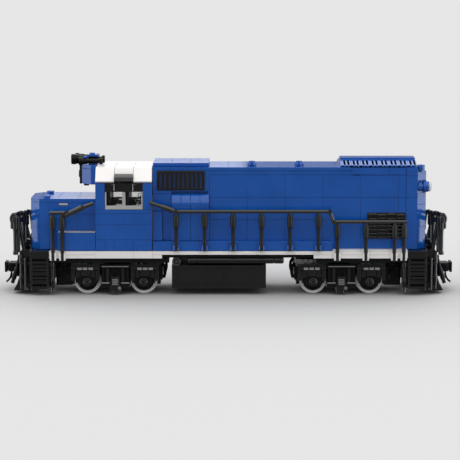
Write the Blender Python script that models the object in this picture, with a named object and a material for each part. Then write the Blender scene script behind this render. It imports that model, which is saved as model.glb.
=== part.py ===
"""Brick-built model of a four-axle road-switcher diesel locomotive, as separate solid pieces.

The object lies along X with its cab end at -X and its long-hood end at +X. Y is its width and
Z is up, with the flat bottoms of the wheel flanges at Z = 0. Dimensions below are millimetres.
"""

import math

import bmesh
import bpy
from mathutils import Matrix, Vector

MM = 0.001

# The brick grid the object is built on.
STUD = 8.0
PLATE = 3.2
GAP = 0.3
RUNNING_GAP = 0.08
OVERLAP = 0.5

# Levels and half widths of the body.
DECK = 12 * PLATE
ON_DECK = DECK + GAP
SILL_BOTTOM = DECK - 2 * PLATE
SHALLOW_SILL_BOTTOM = DECK - PLATE
HOOD_HALF = 3 * STUD
SILL_HALF = 4 * STUD
HOOD_TOP = DECK + 22 * PLATE
NOSE_TOP = DECK + 43.5
SKIRT_TOP = DECK + STUD
SKIN = 4.0

# Positions along the object.
DECK_END = 19 * STUD
STEP_END = 21 * STUD
PLATFORM_END = 22 * STUD
NOSE_FRONT = -21 * STUD
CAB_FRONT = -14 * STUD
CAB_REAR = -8 * STUD
HOOD_START = -2 * STUD
HOOD_END = 21 * STUD
CORNER = STUD
STACK_Y = -1.5 * STUD

# Running gear.
TRUCK_X = 12 * STUD
AXLE_OFFSET = 3 * STUD
AXLE_Z = 11.5
AXLE_RADIUS = 2.4
AXLE_HALF = 27.2
WHEEL_SIDES = 24
FLANGE_RADIUS = AXLE_Z / math.cos(math.pi / WHEEL_SIDES)
TREAD_RADIUS = 10.3
WHEEL_BACK = 17.2
KINGPIN_RADIUS = 3.1
KINGPIN_TOP = 36.0
BOLSTER_TOP = 27.2
BOLSTER_BOTTOM = 17.5
FRAME_INNER = 24.0
FRAME_OUTER = 28.0
CENTRE_HALF = 15.0

# Couplers.
COUPLER_PIVOT = 20 * STUD
COUPLER_TIP = 193.0
COUPLER_BOTTOM = 16.0
COUPLER_TOP = 24.8
COUPLER_PIN_RADIUS = 2.4

# Handrails.
RAIL_Y = 34.4
BAR_RADIUS = 1.55
POST_HEAD_RADIUS = 2.3
BAR_SIDES = 8
RAIL_Z = 72.5
REAR_RAIL_Z = 63.8
NOSE_RAIL_Z = 71.3
SKIRT_POSTS = (-5.5, -2.5, 0.5, 3.5, 6.5, 9.5)
REAR_POSTS = (11.5, 14.5, 17.5, 18.5)
NOSE_POSTS = (-18.5, -17.5)

# Cab windows.
WINDOW_START = -13 * STUD
WINDOW_END = -9 * STUD
WINDOW_BOTTOM = DECK + 11 * PLATE
CAB_TOP = DECK + 18 * PLATE

BLUE = (0.014, 0.062, 0.27, 1.0)
WHITE = (0.86, 0.85, 0.82, 1.0)
BLACK = (0.012, 0.012, 0.013, 1.0)
DARK_GREY = (0.075, 0.08, 0.085, 1.0)
LIGHT_GREY = (0.40, 0.41, 0.42, 1.0)
TRANSPARENT = (0.85, 0.9, 0.92, 0.35)
STEEL = (0.42, 0.42, 0.43, 1.0)


def clear_scene():
    for obj in list(bpy.data.objects):
        bpy.data.objects.remove(obj)


def material(name, colour, roughness, metallic):
    made = bpy.data.materials.new(name)
    made.use_nodes = True
    shader = made.node_tree.nodes["Principled BSDF"]
    shader.inputs["Base Color"].default_value = colour
    shader.inputs["Roughness"].default_value = roughness
    shader.inputs["Metallic"].default_value = metallic
    made.diffuse_color = colour
    return made


def solid(bm):
    """An unnamed object from a bmesh in millimetres, its faces pointing out."""
    bmesh.ops.scale(bm, vec=Vector((MM, MM, MM)), verts=bm.verts)
    bmesh.ops.recalc_face_normals(bm, faces=bm.faces)
    mesh = bpy.data.meshes.new("shape")
    bm.to_mesh(mesh)
    bm.free()
    obj = bpy.data.objects.new("shape", mesh)
    bpy.context.scene.collection.objects.link(obj)
    return obj


def prism(axis, outline, start, end):
    """An outline in the other two axes, in their alphabetical order, carried along one axis."""
    place = {
        "x": lambda u, v, w: (w, u, v),
        "y": lambda u, v, w: (u, w, v),
        "z": lambda u, v, w: (u, v, w),
    }[axis]
    bm = bmesh.new()
    first = [bm.verts.new(place(u, v, start)) for u, v in outline]
    last = [bm.verts.new(place(u, v, end)) for u, v in outline]
    bm.faces.new(first)
    bm.faces.new(last)
    for i, corner in enumerate(first):
        j = (i + 1) % len(first)
        bm.faces.new((corner, first[j], last[j], last[i]))
    return solid(bm)


def box(x0, x1, y0, y1, z0, z1):
    return prism("z", [(x0, y0), (x1, y0), (x1, y1), (x0, y1)], z0, z1)


def hull(points):
    bm = bmesh.new()
    for point in points:
        bm.verts.new(point)
    bmesh.ops.convex_hull(bm, input=bm.verts)
    bmesh.ops.delete(bm, geom=[v for v in bm.verts if not v.link_faces], context="VERTS")
    return solid(bm)


def rod(start, end, radius, end_radius=None, sides=BAR_SIDES):
    """A straight bar, tapered if the second radius is given, with a flat side turned down."""
    start = Vector(start)
    end = Vector(end)
    run = end - start
    bm = bmesh.new()
    bmesh.ops.create_cone(
        bm,
        cap_ends=True,
        segments=sides,
        radius1=radius,
        radius2=radius if end_radius is None else end_radius,
        depth=run.length,
        matrix=Matrix.Rotation(math.pi / sides, 4, "Z"),
    )
    turn = Vector((0.0, 0.0, 1.0)).rotation_difference(run).to_matrix().to_4x4()
    bmesh.ops.transform(bm, matrix=Matrix.Translation((start + end) / 2) @ turn, verts=bm.verts)
    return solid(bm)


def path(points, radius):
    """Straight bars through the points, each run on a little past its bends."""
    bars = []
    for i, (a, b) in enumerate(zip(points, points[1:])):
        start = Vector(a)
        end = Vector(b)
        along = (end - start).normalized() * radius * 0.55
        if i > 0:
            start = start - along
        if i < len(points) - 2:
            end = end + along
        bars.append(rod(start, end, radius))
    return bars


def turned(x, z, outline):
    """A ring about an axis along Y: a closed outline of (radius, y), with a flat side down."""
    bm = bmesh.new()
    rings = []
    for step in range(WHEEL_SIDES):
        angle = 2 * math.pi * (step + 0.5) / WHEEL_SIDES
        across = math.sin(angle)
        up = -math.cos(angle)
        rings.append([bm.verts.new((x + r * across, y, z + r * up)) for r, y in outline])
    for i, ring in enumerate(rings):
        other = rings[(i + 1) % WHEEL_SIDES]
        for j in range(len(outline)):
            k = (j + 1) % len(outline)
            bm.faces.new((ring[j], ring[k], other[k], other[j]))
    return solid(bm)


def combined(base, others, operation):
    """The base shape joined with, or cut by, all the others."""
    group = bpy.data.collections.new("operands")
    for other in others:
        group.objects.link(other)
    change = base.modifiers.new("shape", "BOOLEAN")
    change.operation = operation
    change.solver = "EXACT"
    change.operand_type = "COLLECTION"
    change.collection = group
    graph = bpy.context.evaluated_depsgraph_get()
    mesh = bpy.data.meshes.new_from_object(base.evaluated_get(graph))
    base.modifiers.clear()
    base.data = mesh
    for other in others:
        bpy.data.objects.remove(other)
    bpy.data.collections.remove(group)


def piece(name, colour, shapes, cuts=(), roughness=0.3, metallic=0.0, smooth=False, origin=(0, 0, 0)):
    """One named sub-part: the union of the shapes, less the cuts, with its origin at the given point in mm."""
    obj = shapes[0]
    if len(shapes) > 1:
        combined(obj, shapes[1:], "UNION")
    if cuts:
        combined(obj, list(cuts), "DIFFERENCE")
    obj.name = name
    obj.data.name = name
    obj.data.materials.clear()
    obj.data.materials.append(material(name, colour, roughness, metallic))
    for face in obj.data.polygons:
        face.material_index = 0
    if smooth:
        obj.data.shade_smooth()
        obj.data.set_sharp_from_angle(angle=math.radians(35))
    pivot = Vector(origin) * MM
    obj.data.transform(Matrix.Translation(-pivot))
    obj.location = pivot
    return obj


def cut_end(inset, flat_x, end_x):
    """Plan outline of a hood with both corners of its outer end cut at 45 degrees, drawn in evenly by the inset."""
    toward = 1.0 if end_x > flat_x else -1.0
    half = HOOD_HALF - inset
    slack = inset * (math.sqrt(2) - 1)
    start = flat_x + toward * inset
    cut = end_x - toward * (CORNER + slack)
    end = end_x - toward * inset
    flat = HOOD_HALF - CORNER - slack
    return [(start, -half), (cut, -half), (end, -flat), (end, flat), (cut, half), (start, half)]


def clip_fingers(post_x, side, low, high):
    """Two fingers that hold a handrail post at its foot."""
    fingers = []
    inner = BAR_RADIUS + GAP
    for start, end in ((-inner - 1.4, -inner), (inner, inner + 1.4)):
        depths = sorted((side * (SILL_HALF - OVERLAP), side * 35.8))
        fingers.append(box(post_x + start, post_x + end, *depths, low, high))
    return fingers


def side_box(x0, x1, side, y0, y1, z0, z1):
    low, high = sorted((side * y0, side * y1))
    return box(x0, x1, low, high, z0, z1)


def side_prism(outline, side, x0, x1):
    """An outline of (distance from the middle, height) on one side, carried along X."""
    return prism("x", [(side * y, z) for y, z in outline], x0, x1)


def build_underframe():
    shapes = [box(-DECK_END + GAP, DECK_END - GAP, -HOOD_HALF + GAP, HOOD_HALF - GAP, SILL_BOTTOM, DECK)]
    cuts = []
    for x in (-TRUCK_X, TRUCK_X):
        shapes.append(box(x - 14, x + 14, -11.7, 11.7, BOLSTER_TOP + GAP, SILL_BOTTOM + OVERLAP))
        hole = KINGPIN_RADIUS + GAP
        cuts.append(rod((x, 0, 20), (x, 0, KINGPIN_TOP + GAP), hole, sides=24))
    piece("underframe", BLACK, shapes, cuts)


def build_side(side, word):
    """The deck edge, walkway skirt, battery box and air tank of one side."""
    sill = [
        side_box(-DECK_END + GAP, DECK_END - GAP, side, HOOD_HALF, SILL_HALF, SHALLOW_SILL_BOTTOM, DECK),
        side_box(-DECK_END + GAP, -7 * STUD, side, HOOD_HALF, SILL_HALF, SILL_BOTTOM, DECK - 1),
        side_box(9 * STUD, DECK_END - GAP, side, HOOD_HALF, SILL_HALF, SILL_BOTTOM, DECK - 1),
    ]
    for stud in NOSE_POSTS + REAR_POSTS:
        sill += clip_fingers(stud * STUD, side, SILL_BOTTOM - 0.8, DECK - 2.4)
    piece(f"side_sill_{word}", WHITE, sill)

    skirt = [side_box(CAB_REAR, 11 * STUD, side, HOOD_HALF + GAP, SILL_HALF, ON_DECK, SKIRT_TOP)]
    for stud in SKIRT_POSTS:
        skirt += clip_fingers(stud * STUD, side, ON_DECK + 1.0, SKIRT_TOP - 1.4)
    piece(f"walkway_skirt_{word}", BLUE, skirt)

    battery = side_box(
        -18 * STUD, CAB_FRONT - GAP, side, HOOD_HALF + GAP, SILL_HALF, ON_DECK, DECK + 5 * PLATE
    )
    piece(f"battery_box_{word}", BLUE, [battery])

    tank = [rod((-34.5, side * 28, 29.9), (47, side * 28, 29.9), 2.8, sides=16)]
    for x in (-28.0, 8.0, 40.0):
        tank.append(side_box(x - 1.5, x + 1.5, side, 27, 29, 29.9, SHALLOW_SILL_BOTTOM - GAP))
    piece(f"air_tank_{word}", DARK_GREY, tank, smooth=True)


def post(x, side, foot, shoulder, head):
    """A handrail post: thin below, thick above its shoulder."""
    y = side * RAIL_Y
    return [
        rod((x, y, foot), (x, y, head), BAR_RADIUS),
        rod((x, y, shoulder - 2), (x, y, shoulder), BAR_RADIUS, POST_HEAD_RADIUS),
        rod((x, y, shoulder - OVERLAP / 5), (x, y, head - 2.4), POST_HEAD_RADIUS),
    ]


def build_handrails(side, word):
    y = side * RAIL_Y
    nose = []
    for stud in NOSE_POSTS:
        nose += post(stud * STUD, side, SILL_BOTTOM - 2, NOSE_RAIL_Z - 11.5, NOSE_RAIL_Z)
    nose.append(rod((-150.2, y, NOSE_RAIL_Z), (-135, y, NOSE_RAIL_Z), BAR_RADIUS))
    nose.append(rod((-137.5, y, NOSE_RAIL_Z - 1.5), (-122, y, 76.4), 2.3))
    nose.append(rod((-123, y, 76.1), (-113, y, 79.6), BAR_RADIUS))
    piece(f"handrail_nose_{word}", BLACK, nose, smooth=True)

    long_rail = path(
        [(-66.2, y, 80.2), (-44, y, RAIL_Z), (86, y, RAIL_Z), (88, y, REAR_RAIL_Z), (150.3, y, REAR_RAIL_Z)],
        BAR_RADIUS,
    )
    for stud in SKIRT_POSTS:
        long_rail += post(stud * STUD, side, ON_DECK + 0.8, RAIL_Z - 12.5, RAIL_Z)
    for stud in REAR_POSTS:
        long_rail += post(stud * STUD, side, SILL_BOTTOM - 2, REAR_RAIL_Z - 12.5, REAR_RAIL_Z)
    piece(f"handrail_{word}", BLACK, long_rail, smooth=True)


def build_end(end, word):
    """The platform with its step wells and pilot, the end railing and the coupler of one end."""

    def block(x0, x1, y0, y1, z0, z1):
        low, high = sorted((end * x0, end * x1))
        return box(low, high, y0, y1, z0, z1)

    shapes = [
        block(DECK_END, STEP_END, -SILL_HALF + GAP, SILL_HALF - GAP, SILL_BOTTOM, DECK),
        block(STEP_END - 1, PLATFORM_END, -HOOD_HALF, HOOD_HALF, SILL_BOTTOM, DECK),
        block(DECK_END + GAP, STEP_END - GAP, -12, 12, COUPLER_TOP - 0.9, SILL_BOTTOM + OVERLAP),
        hull(
            [(end * x, y, 31.0 + OVERLAP * 3) for x, y in ((168, -23), (173, -23), (173, 23), (168, 23))]
            + [(end * x, y, 3.0) for x, y in ((168, -23), (183.6, -23), (183.6, 23), (168, 23))]
        ),
    ]
    for side in (-1, 1):
        back = sorted((side * 24.3, side * 26))
        depth = sorted((side * 25.5, side * 31.7))
        shapes.append(block(147.2, STEP_END - GAP, *back, 7, SILL_BOTTOM - GAP))
        shapes.append(block(DECK_END + GAP, STEP_END - GAP, *back, 7, SILL_BOTTOM + OVERLAP))
        for x in (DECK_END + GAP, STEP_END - GAP - 1.6):
            shapes.append(block(x, x + 1.6, *depth, 7, SILL_BOTTOM + OVERLAP))
        for tread in (8.6, 17.1, 24.0):
            shapes.append(block(DECK_END + 1, STEP_END - 1, *depth, tread - 1.6, tread))
        shapes.append(block(147.6, DECK_END + 1, *sorted((side * 27.6, side * 29.4)), 26, 28))
        shapes.append(block(147.6, DECK_END + 1, *sorted((side * 27.6, side * 29.4)), 7.2, 9.2))
        shapes.append(rod((end * 149.2, side * 28.5, 3), (end * 149.2, side * 28.5, 31), 1.6))
        shapes.append(rod((end * 176, side * 24.2, 5), (end * 176, side * 24.2, SILL_BOTTOM + 3), 1.6))
        shapes.append(rod((end * 171, side * 16, DECK - 1), (end * 171, side * 16, DECK + 8), 2.4))
    pin_hole = COUPLER_PIN_RADIUS + GAP
    cuts = [
        block(STEP_END - GAP - 1, 190, -13, 13, 14, 31),
        rod((end * COUPLER_PIVOT, 0, 20), (end * COUPLER_PIVOT, 0, KINGPIN_TOP + GAP), pin_hole, sides=24),
    ]
    piece(f"end_platform_{word}", BLACK, shapes, cuts)

    middle = 68.8
    rail_points = [(180.4, -26, 68.6), (178.4, -18, 69.2), (170.8, 0, middle), (178.4, 18, 64.6), (180.4, 26, 63.2)]
    rail = path([(end * x, y, z) for x, y, z in rail_points], BAR_RADIUS)
    rail.append(rod((end * 170.9, 0, middle), (end * 170.9, 0, 52), 1.3))
    for side, corner_top, bend_top in ((-1, 68.6, 69.2), (1, 63.2, 64.6)):
        inner_top = middle + (bend_top - middle) * 10.5 / 18
        rail.append(rod((end * 180.5, side * 25.8, 35.5), (end * 180.5, side * 25.8, corner_top + 1), 1.9, sides=10))
        rail.append(rod((end * 173.8, side * 20.8, ON_DECK + 1.2), (end * 178.7, side * 20.2, bend_top), 1.45))
        rail.append(rod((end * 175.2, side * 10.5, ON_DECK), (end * 175.2, side * 10.5, inner_top), 1.4))
    piece(f"end_railing_{word}", BLACK, rail, smooth=True)

    pivot = end * COUPLER_PIVOT
    coupler = [
        rod((pivot, 0, 17.0), (pivot, 0, 23.5), 5.5, sides=24),
        block(162, 181, -3.5, 3.5, 17.2, 23.3),
        block(179, COUPLER_TIP, -6.5, 6.5, COUPLER_BOTTOM, COUPLER_TOP),
    ]
    coupler += path(
        [(end * 187.5, 0, 17), (end * 187.8, 0, 13), (end * 189.4, 0, 9.6), (end * 192.2, 0, 7.0)], 0.9
    )
    bore = rod((pivot, 0, 10), (pivot, 0, 30), COUPLER_PIN_RADIUS + RUNNING_GAP, sides=24)
    piece(f"coupler_{word}", BLACK, coupler, [bore], origin=(pivot, 0, COUPLER_BOTTOM))

    pin = [
        rod((pivot, 0, 15), (pivot, 0, KINGPIN_TOP), COUPLER_PIN_RADIUS, sides=24),
        rod((pivot, 0, 14.5), (pivot, 0, 16.6), 4.2, sides=24),
    ]
    piece(f"coupler_pin_{word}", DARK_GREY, pin, smooth=True)


def build_truck(end, word):
    """One two-axle truck: its frame, kingpin, axles and wheels."""
    centre = end * TRUCK_X
    frame = [
        box(centre - 11, centre + 11, -24.5, 24.5, BOLSTER_BOTTOM, BOLSTER_TOP),
        box(centre - 38, centre + 38, -CENTRE_HALF, CENTRE_HALF, 7, 24),
        box(centre - 40, centre - 36, -22, 22, 12, 24),
        box(centre + 36, centre + 40, -22, 22, 12, 24),
        box(*sorted((centre + end * 38, centre + end * 52)), -13, 13, 8, 22),
    ]
    cuts = [
        rod((centre, 0, 10), (centre, 0, 30), KINGPIN_RADIUS + RUNNING_GAP, sides=24),
        rod((centre, 0, 0), (centre, 0, BOLSTER_BOTTOM), 6.5, sides=24),
    ]
    for side in (-1, 1):
        frame.append(side_box(centre - 37, centre + 37, side, FRAME_INNER, FRAME_OUTER, 22.5, 26.4))
        frame.append(side_box(centre - 13, centre - 10.5, side, FRAME_INNER + 0.5, FRAME_OUTER - 0.5, 10, 23))
        frame.append(side_box(centre + 10.5, centre + 13, side, FRAME_INNER + 0.5, FRAME_OUTER - 0.5, 10, 23))
        frame.append(side_box(centre - 13, centre + 13, side, FRAME_INNER + 0.5, FRAME_OUTER - 0.5, 9.6, 12))
        frame.append(side_box(centre - 4, centre + 4, side, FRAME_INNER + 1, 30, 6.5, 16))
        for offset in (-AXLE_OFFSET, AXLE_OFFSET):
            x = centre + offset
            frame.append(side_box(x - 12, x + 12, side, FRAME_INNER, FRAME_OUTER + 1, 14, 25.4))
            frame.append(side_box(x - 6.5, x + 6.5, side, FRAME_INNER, FRAME_OUTER, 8, 15))
            frame.append(rod((x, side * 27, AXLE_Z), (x, side * 30, AXLE_Z), 3.9, sides=16))
            cuts.append(turned_hole(x, side, AXLE_RADIUS + RUNNING_GAP))
    for offset in (-AXLE_OFFSET, AXLE_OFFSET):
        x = centre + offset
        cuts.append(box(x - 3.2, x + 3.2, -CENTRE_HALF - 1, CENTRE_HALF + 1, 0, 15.2))
    piece(f"truck_frame_{word}", BLACK, frame, cuts, origin=(centre, 0, BOLSTER_TOP))

    kingpin = [
        rod((centre, 0, 15.5), (centre, 0, KINGPIN_TOP), KINGPIN_RADIUS, sides=24),
        rod((centre, 0, 14.9), (centre, 0, BOLSTER_BOTTOM - GAP), 6.0, sides=24),
    ]
    piece(f"kingpin_{word}", DARK_GREY, kingpin, smooth=True)

    for place, offset in (("outer", end * AXLE_OFFSET), ("inner", -end * AXLE_OFFSET)):
        x = centre + offset
        axle = rod((x, -AXLE_HALF, AXLE_Z), (x, AXLE_HALF, AXLE_Z), AXLE_RADIUS, sides=24)
        piece(f"axle_{word}_{place}", STEEL, [axle], metallic=1.0, smooth=True, origin=(x, 0, AXLE_Z))
        for side, side_word in ((-1, "left"), (1, "right")):
            wheel = turned(x, AXLE_Z, [(r, side * y) for r, y in wheel_outline()])
            name = f"wheel_{word}_{place}_{side_word}"
            piece(name, STEEL, [wheel], roughness=0.35, metallic=1.0, smooth=True, origin=(x, 0, AXLE_Z))


def turned_hole(x, side, radius):
    """The blind bearing hole that takes one end of an axle."""
    return rod((x, side * 20, AXLE_Z), (x, side * (AXLE_HALF + 0.4), AXLE_Z), radius, sides=24)


def wheel_outline():
    """Half section of a wheel as (radius, distance from the middle of the object)."""
    bore = AXLE_RADIUS + GAP
    back = WHEEL_BACK
    return [
        (bore, back),
        (bore, back + 6.0),
        (4.2, back + 6.0),
        (4.6, back + 4.4),
        (8.1, back + 4.4),
        (TREAD_RADIUS - 1.4, back + 5.7),
        (TREAD_RADIUS - 0.2, back + 5.7),
        (TREAD_RADIUS, back + 1.5),
        (FLANGE_RADIUS, back + 0.9),
        (FLANGE_RADIUS, back),
    ]


def build_tank():
    shapes = [
        box(-48, 32, -28, 28, 6.4, 25.6),
        box(-44, 28, -16, 16, 25, SILL_BOTTOM - GAP),
        rod((-44, -29.4, 28.9), (-44, 29.4, 28.9), 2.4, sides=16),
    ]
    for side in (-1, 1):
        shapes.append(rod((-44, side * 24.4, 28.9), (-44, side * 30, 28.9), 3.7, sides=16))
    piece("fuel_tank", BLACK, shapes, [box(-38, 24, -12, 12, 10, 40)])


def build_nose():
    shell = prism("z", cut_end(0.0, CAB_FRONT - GAP, NOSE_FRONT), ON_DECK, NOSE_TOP)
    hollow = prism("z", cut_end(SKIN, CAB_FRONT - GAP, NOSE_FRONT), DECK - 5, NOSE_TOP - SKIN)
    shapes = [shell]
    for side in (-1, 1):
        shapes.append(rod((-156, side * 16, NOSE_TOP - 1), (-156, side * 16, NOSE_TOP + 1.6), 1.7, sides=12))
        shapes.append(rod((-156, side * 16, NOSE_TOP + 1.2), (-156, side * 16, NOSE_TOP + 2.8), 2.9, sides=12))
    piece("nose_shell", BLUE, shapes, [hollow])


def build_cab():
    shell = box(CAB_FRONT, CAB_REAR - GAP, -SILL_HALF, SILL_HALF, ON_DECK, CAB_TOP)
    cuts = [
        box(CAB_FRONT + 4, CAB_REAR - 6, -24.3, 24.3, ON_DECK + PLATE, CAB_TOP + 5),
        box(WINDOW_START, WINDOW_END, -40, 40, WINDOW_BOTTOM, CAB_TOP + 5),
    ]
    for side in (-1, 1):
        cuts.append(side_box(CAB_FRONT - 5, CAB_FRONT + 8, side, 4, 22, NOSE_TOP + 1.7, CAB_TOP - 3.4))
    piece("cab_shell", BLUE, [shell], cuts)
    screen = box(CAB_FRONT + 4.3, CAB_FRONT + 5.3, -23.5, 23.5, NOSE_TOP, CAB_TOP - 1.5)
    piece("windshield", TRANSPARENT, [screen], roughness=0.1)

    bottom = CAB_TOP + GAP
    outer = [(-32, bottom), (-32, bottom + 1.5), (-24, HOOD_TOP), (24, HOOD_TOP), (32, bottom + 1.5), (32, bottom)]
    inner = [(-24.3, bottom - 5), (-24.3, bottom + 3), (-20, HOOD_TOP - 3.2), (20, HOOD_TOP - 3.2),
             (24.3, bottom + 3), (24.3, bottom - 5)]
    roof = prism("x", outer, CAB_FRONT, CAB_REAR - GAP)
    cuts = [prism("x", inner, CAB_FRONT + 4, CAB_REAR - 6)]
    for side, word in ((-1, "left"), (1, "right")):
        cuts.append(side_box(-12 * STUD - GAP, -10 * STUD + GAP, side, 28, 40, 90, 104.6))
        shade = side_prism([(28.3, 96.7), (33.4, 96.7), (33.4, 101.2), (28.3, 103.9)], side, -96, -80)
        piece(f"sunshade_{word}", DARK_GREY, [shade], roughness=0.35)
        build_window(side, word)
    piece("cab_roof", WHITE, [roof], cuts)


def build_window(side, word):
    """The framed double window on one side of the cab, and the clear pane behind it."""
    start = WINDOW_START + GAP
    end = WINDOW_END - GAP
    low = WINDOW_BOTTOM + GAP
    high = CAB_TOP - GAP
    frame = side_box(start, end, side, 28, 31.3, low, high)
    middle = (start + end) / 2
    cuts = []
    for x0, x1 in ((start + 1.4, middle - 1.2), (middle + 1.2, end - 1.4)):
        cuts.append(side_box(x0, x1, side, 20, 40, low + 3.0, high - 3.8))
    piece(f"window_frame_{word}", LIGHT_GREY, [frame], cuts)
    pane = side_box(start, end, side, 26.4, 27.6, low, high)
    piece(f"window_pane_{word}", TRANSPARENT, [pane], roughness=0.1)


def build_headlight():
    back = CAB_FRONT - GAP
    plan = [(back, -16), (back, 16), (-116.7, 16), (-125, 8), (-125, -8), (-116.7, -16)]
    piece("headlight_housing", BLUE, [prism("z", plan, 93.0, 109.4)], [box(-120, -100, -10, 10, 90, 105)])
    plate = box(-127, -125.3, -8, 8, 93.0, 109.4)
    lamps = [rod((-125.6, y, 104), (-127.6, y, 104), 2.4, sides=16) for y in (-3.6, 3.6)]
    piece("headlight_plate", BLACK, [plate] + lamps)


def build_horn():
    z = 113.6
    shapes = [
        rod((-134, 0, z), (-127, 0, z), 4.4, 4.0, sides=16),
        rod((-127.2, 0, z), (-118, 0, z), 3.6, 2.5, sides=16),
        rod((-119, 0, z), (-107, 0, z), 1.8, sides=12),
        rod((-109.5, 0, z + 0.6), (-106, 0, z + 0.6), 2.9, sides=12),
        rod((-113.5, 0, 109.7), (-113.5, 0, 118.3), 3.2, sides=16),
        rod((-113.5, -7, z), (-113.5, 7, z), 1.6, sides=12),
    ]
    for side in (-1, 1):
        shapes.append(rod((-129, side * 6.4, z + 0.6), (-123, side * 6.4, z + 0.6), 3.0, 2.2, sides=12))
        shapes.append(rod((-124, side * 6.4, z + 0.6), (-112, side * 6.4, z + 0.2), 1.6, sides=12))
    piece("horn", BLACK, shapes, smooth=True)


def build_filter_hood():
    start = CAB_REAR
    end = HOOD_START - GAP
    shapes = [
        box(start, end, -HOOD_HALF, HOOD_HALF, ON_DECK, HOOD_TOP),
        box(start, end, -20, 20, HOOD_TOP - 1, HOOD_TOP + PLATE),
    ]
    curved = [(23, SKIRT_TOP + GAP), (28, SKIRT_TOP + GAP), (28, 79.0), (27.3, 81.6), (25.8, 83.8), (23, 85.2)]
    for side in (-1, 1):
        shapes.append(side_prism(curved, side, -6 * STUD, end))
        shapes.append(side_box(start, -7 * STUD, side, 23, 28, SKIRT_TOP + GAP, 71.6))
    hollow = box(start + SKIN, end - SKIN, -20, 20, DECK - 5, HOOD_TOP - 2)
    piece("filter_hood", BLUE, shapes, [hollow])
    for side, word in ((-1, "left"), (1, "right")):
        build_intake_grille(side, word)


def build_intake_grille(side, word):
    """A plate of upright bars over the air intake."""
    width = 40.0
    bars = 11
    bar = 1.8
    pitch = (width - bar) / (bars - 1)
    plate = side_box(-60, -20, side, HOOD_HALF + GAP, HOOD_HALF + 1.7, 89.6, 105.6)
    cuts = []
    for i in range(bars - 1):
        x = -60 + bar + i * pitch
        cuts.append(side_box(x, x + pitch - bar, side, 20, 30, 91.0, 104.2))
    piece(f"intake_grille_{word}", BLACK, [plate], cuts)


def build_long_hood():
    shell = prism("z", cut_end(0.0, HOOD_START, HOOD_END), ON_DECK, HOOD_TOP)
    hollow = prism("z", cut_end(SKIN, HOOD_START, HOOD_END), DECK - 5, HOOD_TOP - SKIN)
    shapes = [shell]
    cuts = [hollow]
    for x in (20.0, 60.0):
        shapes.append(rod((x, STACK_Y, HOOD_TOP - 1), (x, STACK_Y, HOOD_TOP + 2.3), 3.9, sides=16))
        shapes.append(rod((x, STACK_Y, HOOD_TOP + 1), (x, STACK_Y, HOOD_TOP + 4.1), 2.4, sides=16))
    for side, word in ((-1, "left"), (1, "right")):
        cuts.append(side_box(13 * STUD, 19 * STUD, side, HOOD_HALF - 1, 30, HOOD_TOP - 6.4, HOOD_TOP - 0.8))
        cuts.append(side_box(20 * STUD, 190, side, 14.9, 40, 86.8, 97.2))
        build_louvre(side, word)
        marker = rod((160.3, side * 20, 92), (172, side * 20, 92), 4.6, sides=20)
        piece(f"marker_light_{word}", BLUE, [marker], smooth=True)
    piece("long_hood", BLUE, shapes, cuts)

    base = HOOD_TOP + GAP
    ridge = HOOD_TOP + 5.2
    points = []
    for x, y, z in ((92, 24, base), (95, 8, ridge), (93, 24, base + 0.8)):
        points += [(x, -y, z), (x, y, z), (159.2, -y, z), (159.2, y, z)]
    slots = []
    for tile in range(8):
        for offset in (1.3, 4.9):
            x = 12 * STUD + tile * STUD + offset
            if x + 1.8 < 159:
                slots.append((x, x + 1.8))
    cuts = []
    for x0, x1 in slots:
        for side in (-1, 1):
            groove = [(9.6, ridge + 2), (9.6, ridge - 1.9), (22.4, base + 0.45), (22.4, base + 4)]
            cuts.append(side_prism(groove, side, x0, x1))
    piece("radiator_hatch", BLUE, [hull(points)], cuts)


def build_louvre(side, word):
    """A plate of level slats low on the hood side."""
    low = DECK + 3 * PLATE
    plate = side_box(14.5 * STUD, 18.6 * STUD, side, HOOD_HALF + GAP, HOOD_HALF + 2.0, low, low + 7 * PLATE)
    cuts = []
    for row in range(6):
        z = low + 2.6 + row * 3.2
        cuts.append(side_box(14.5 * STUD + 1.4, 18.6 * STUD - 1.4, side, HOOD_HALF + 1.2, 30, z, z + 1.5))
    piece(f"louvre_panel_{word}", BLACK, [plate], cuts)


clear_scene()
build_underframe()
for side, word in ((-1, "left"), (1, "right")):
    build_side(side, word)
    build_handrails(side, word)
for end, word in ((-1, "front"), (1, "rear")):
    build_end(end, word)
    build_truck(end, word)
build_tank()
build_nose()
build_cab()
build_headlight()
build_horn()
build_filter_hood()
build_long_hood()
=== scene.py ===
import math

import bmesh
import bpy
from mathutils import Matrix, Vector


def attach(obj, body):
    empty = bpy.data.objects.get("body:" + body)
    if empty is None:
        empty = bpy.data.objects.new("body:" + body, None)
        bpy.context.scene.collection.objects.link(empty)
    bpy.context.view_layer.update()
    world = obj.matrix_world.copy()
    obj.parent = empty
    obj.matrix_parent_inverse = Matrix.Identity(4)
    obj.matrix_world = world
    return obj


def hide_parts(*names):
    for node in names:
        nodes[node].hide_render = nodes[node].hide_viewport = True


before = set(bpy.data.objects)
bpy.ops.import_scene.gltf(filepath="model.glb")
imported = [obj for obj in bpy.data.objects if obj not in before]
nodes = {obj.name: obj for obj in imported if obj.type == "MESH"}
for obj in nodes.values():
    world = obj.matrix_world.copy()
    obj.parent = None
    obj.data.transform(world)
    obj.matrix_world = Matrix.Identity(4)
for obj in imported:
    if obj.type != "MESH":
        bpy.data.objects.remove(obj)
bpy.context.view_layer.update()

MM = 0.001
BODY = "carbody"
SIDES = ((-1, "left"), (1, "right"))
ENDS = ((-1, "front"), (1, "rear"))
UP = (0, 0, 1)
ALONG = (1, 0, 0)

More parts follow.
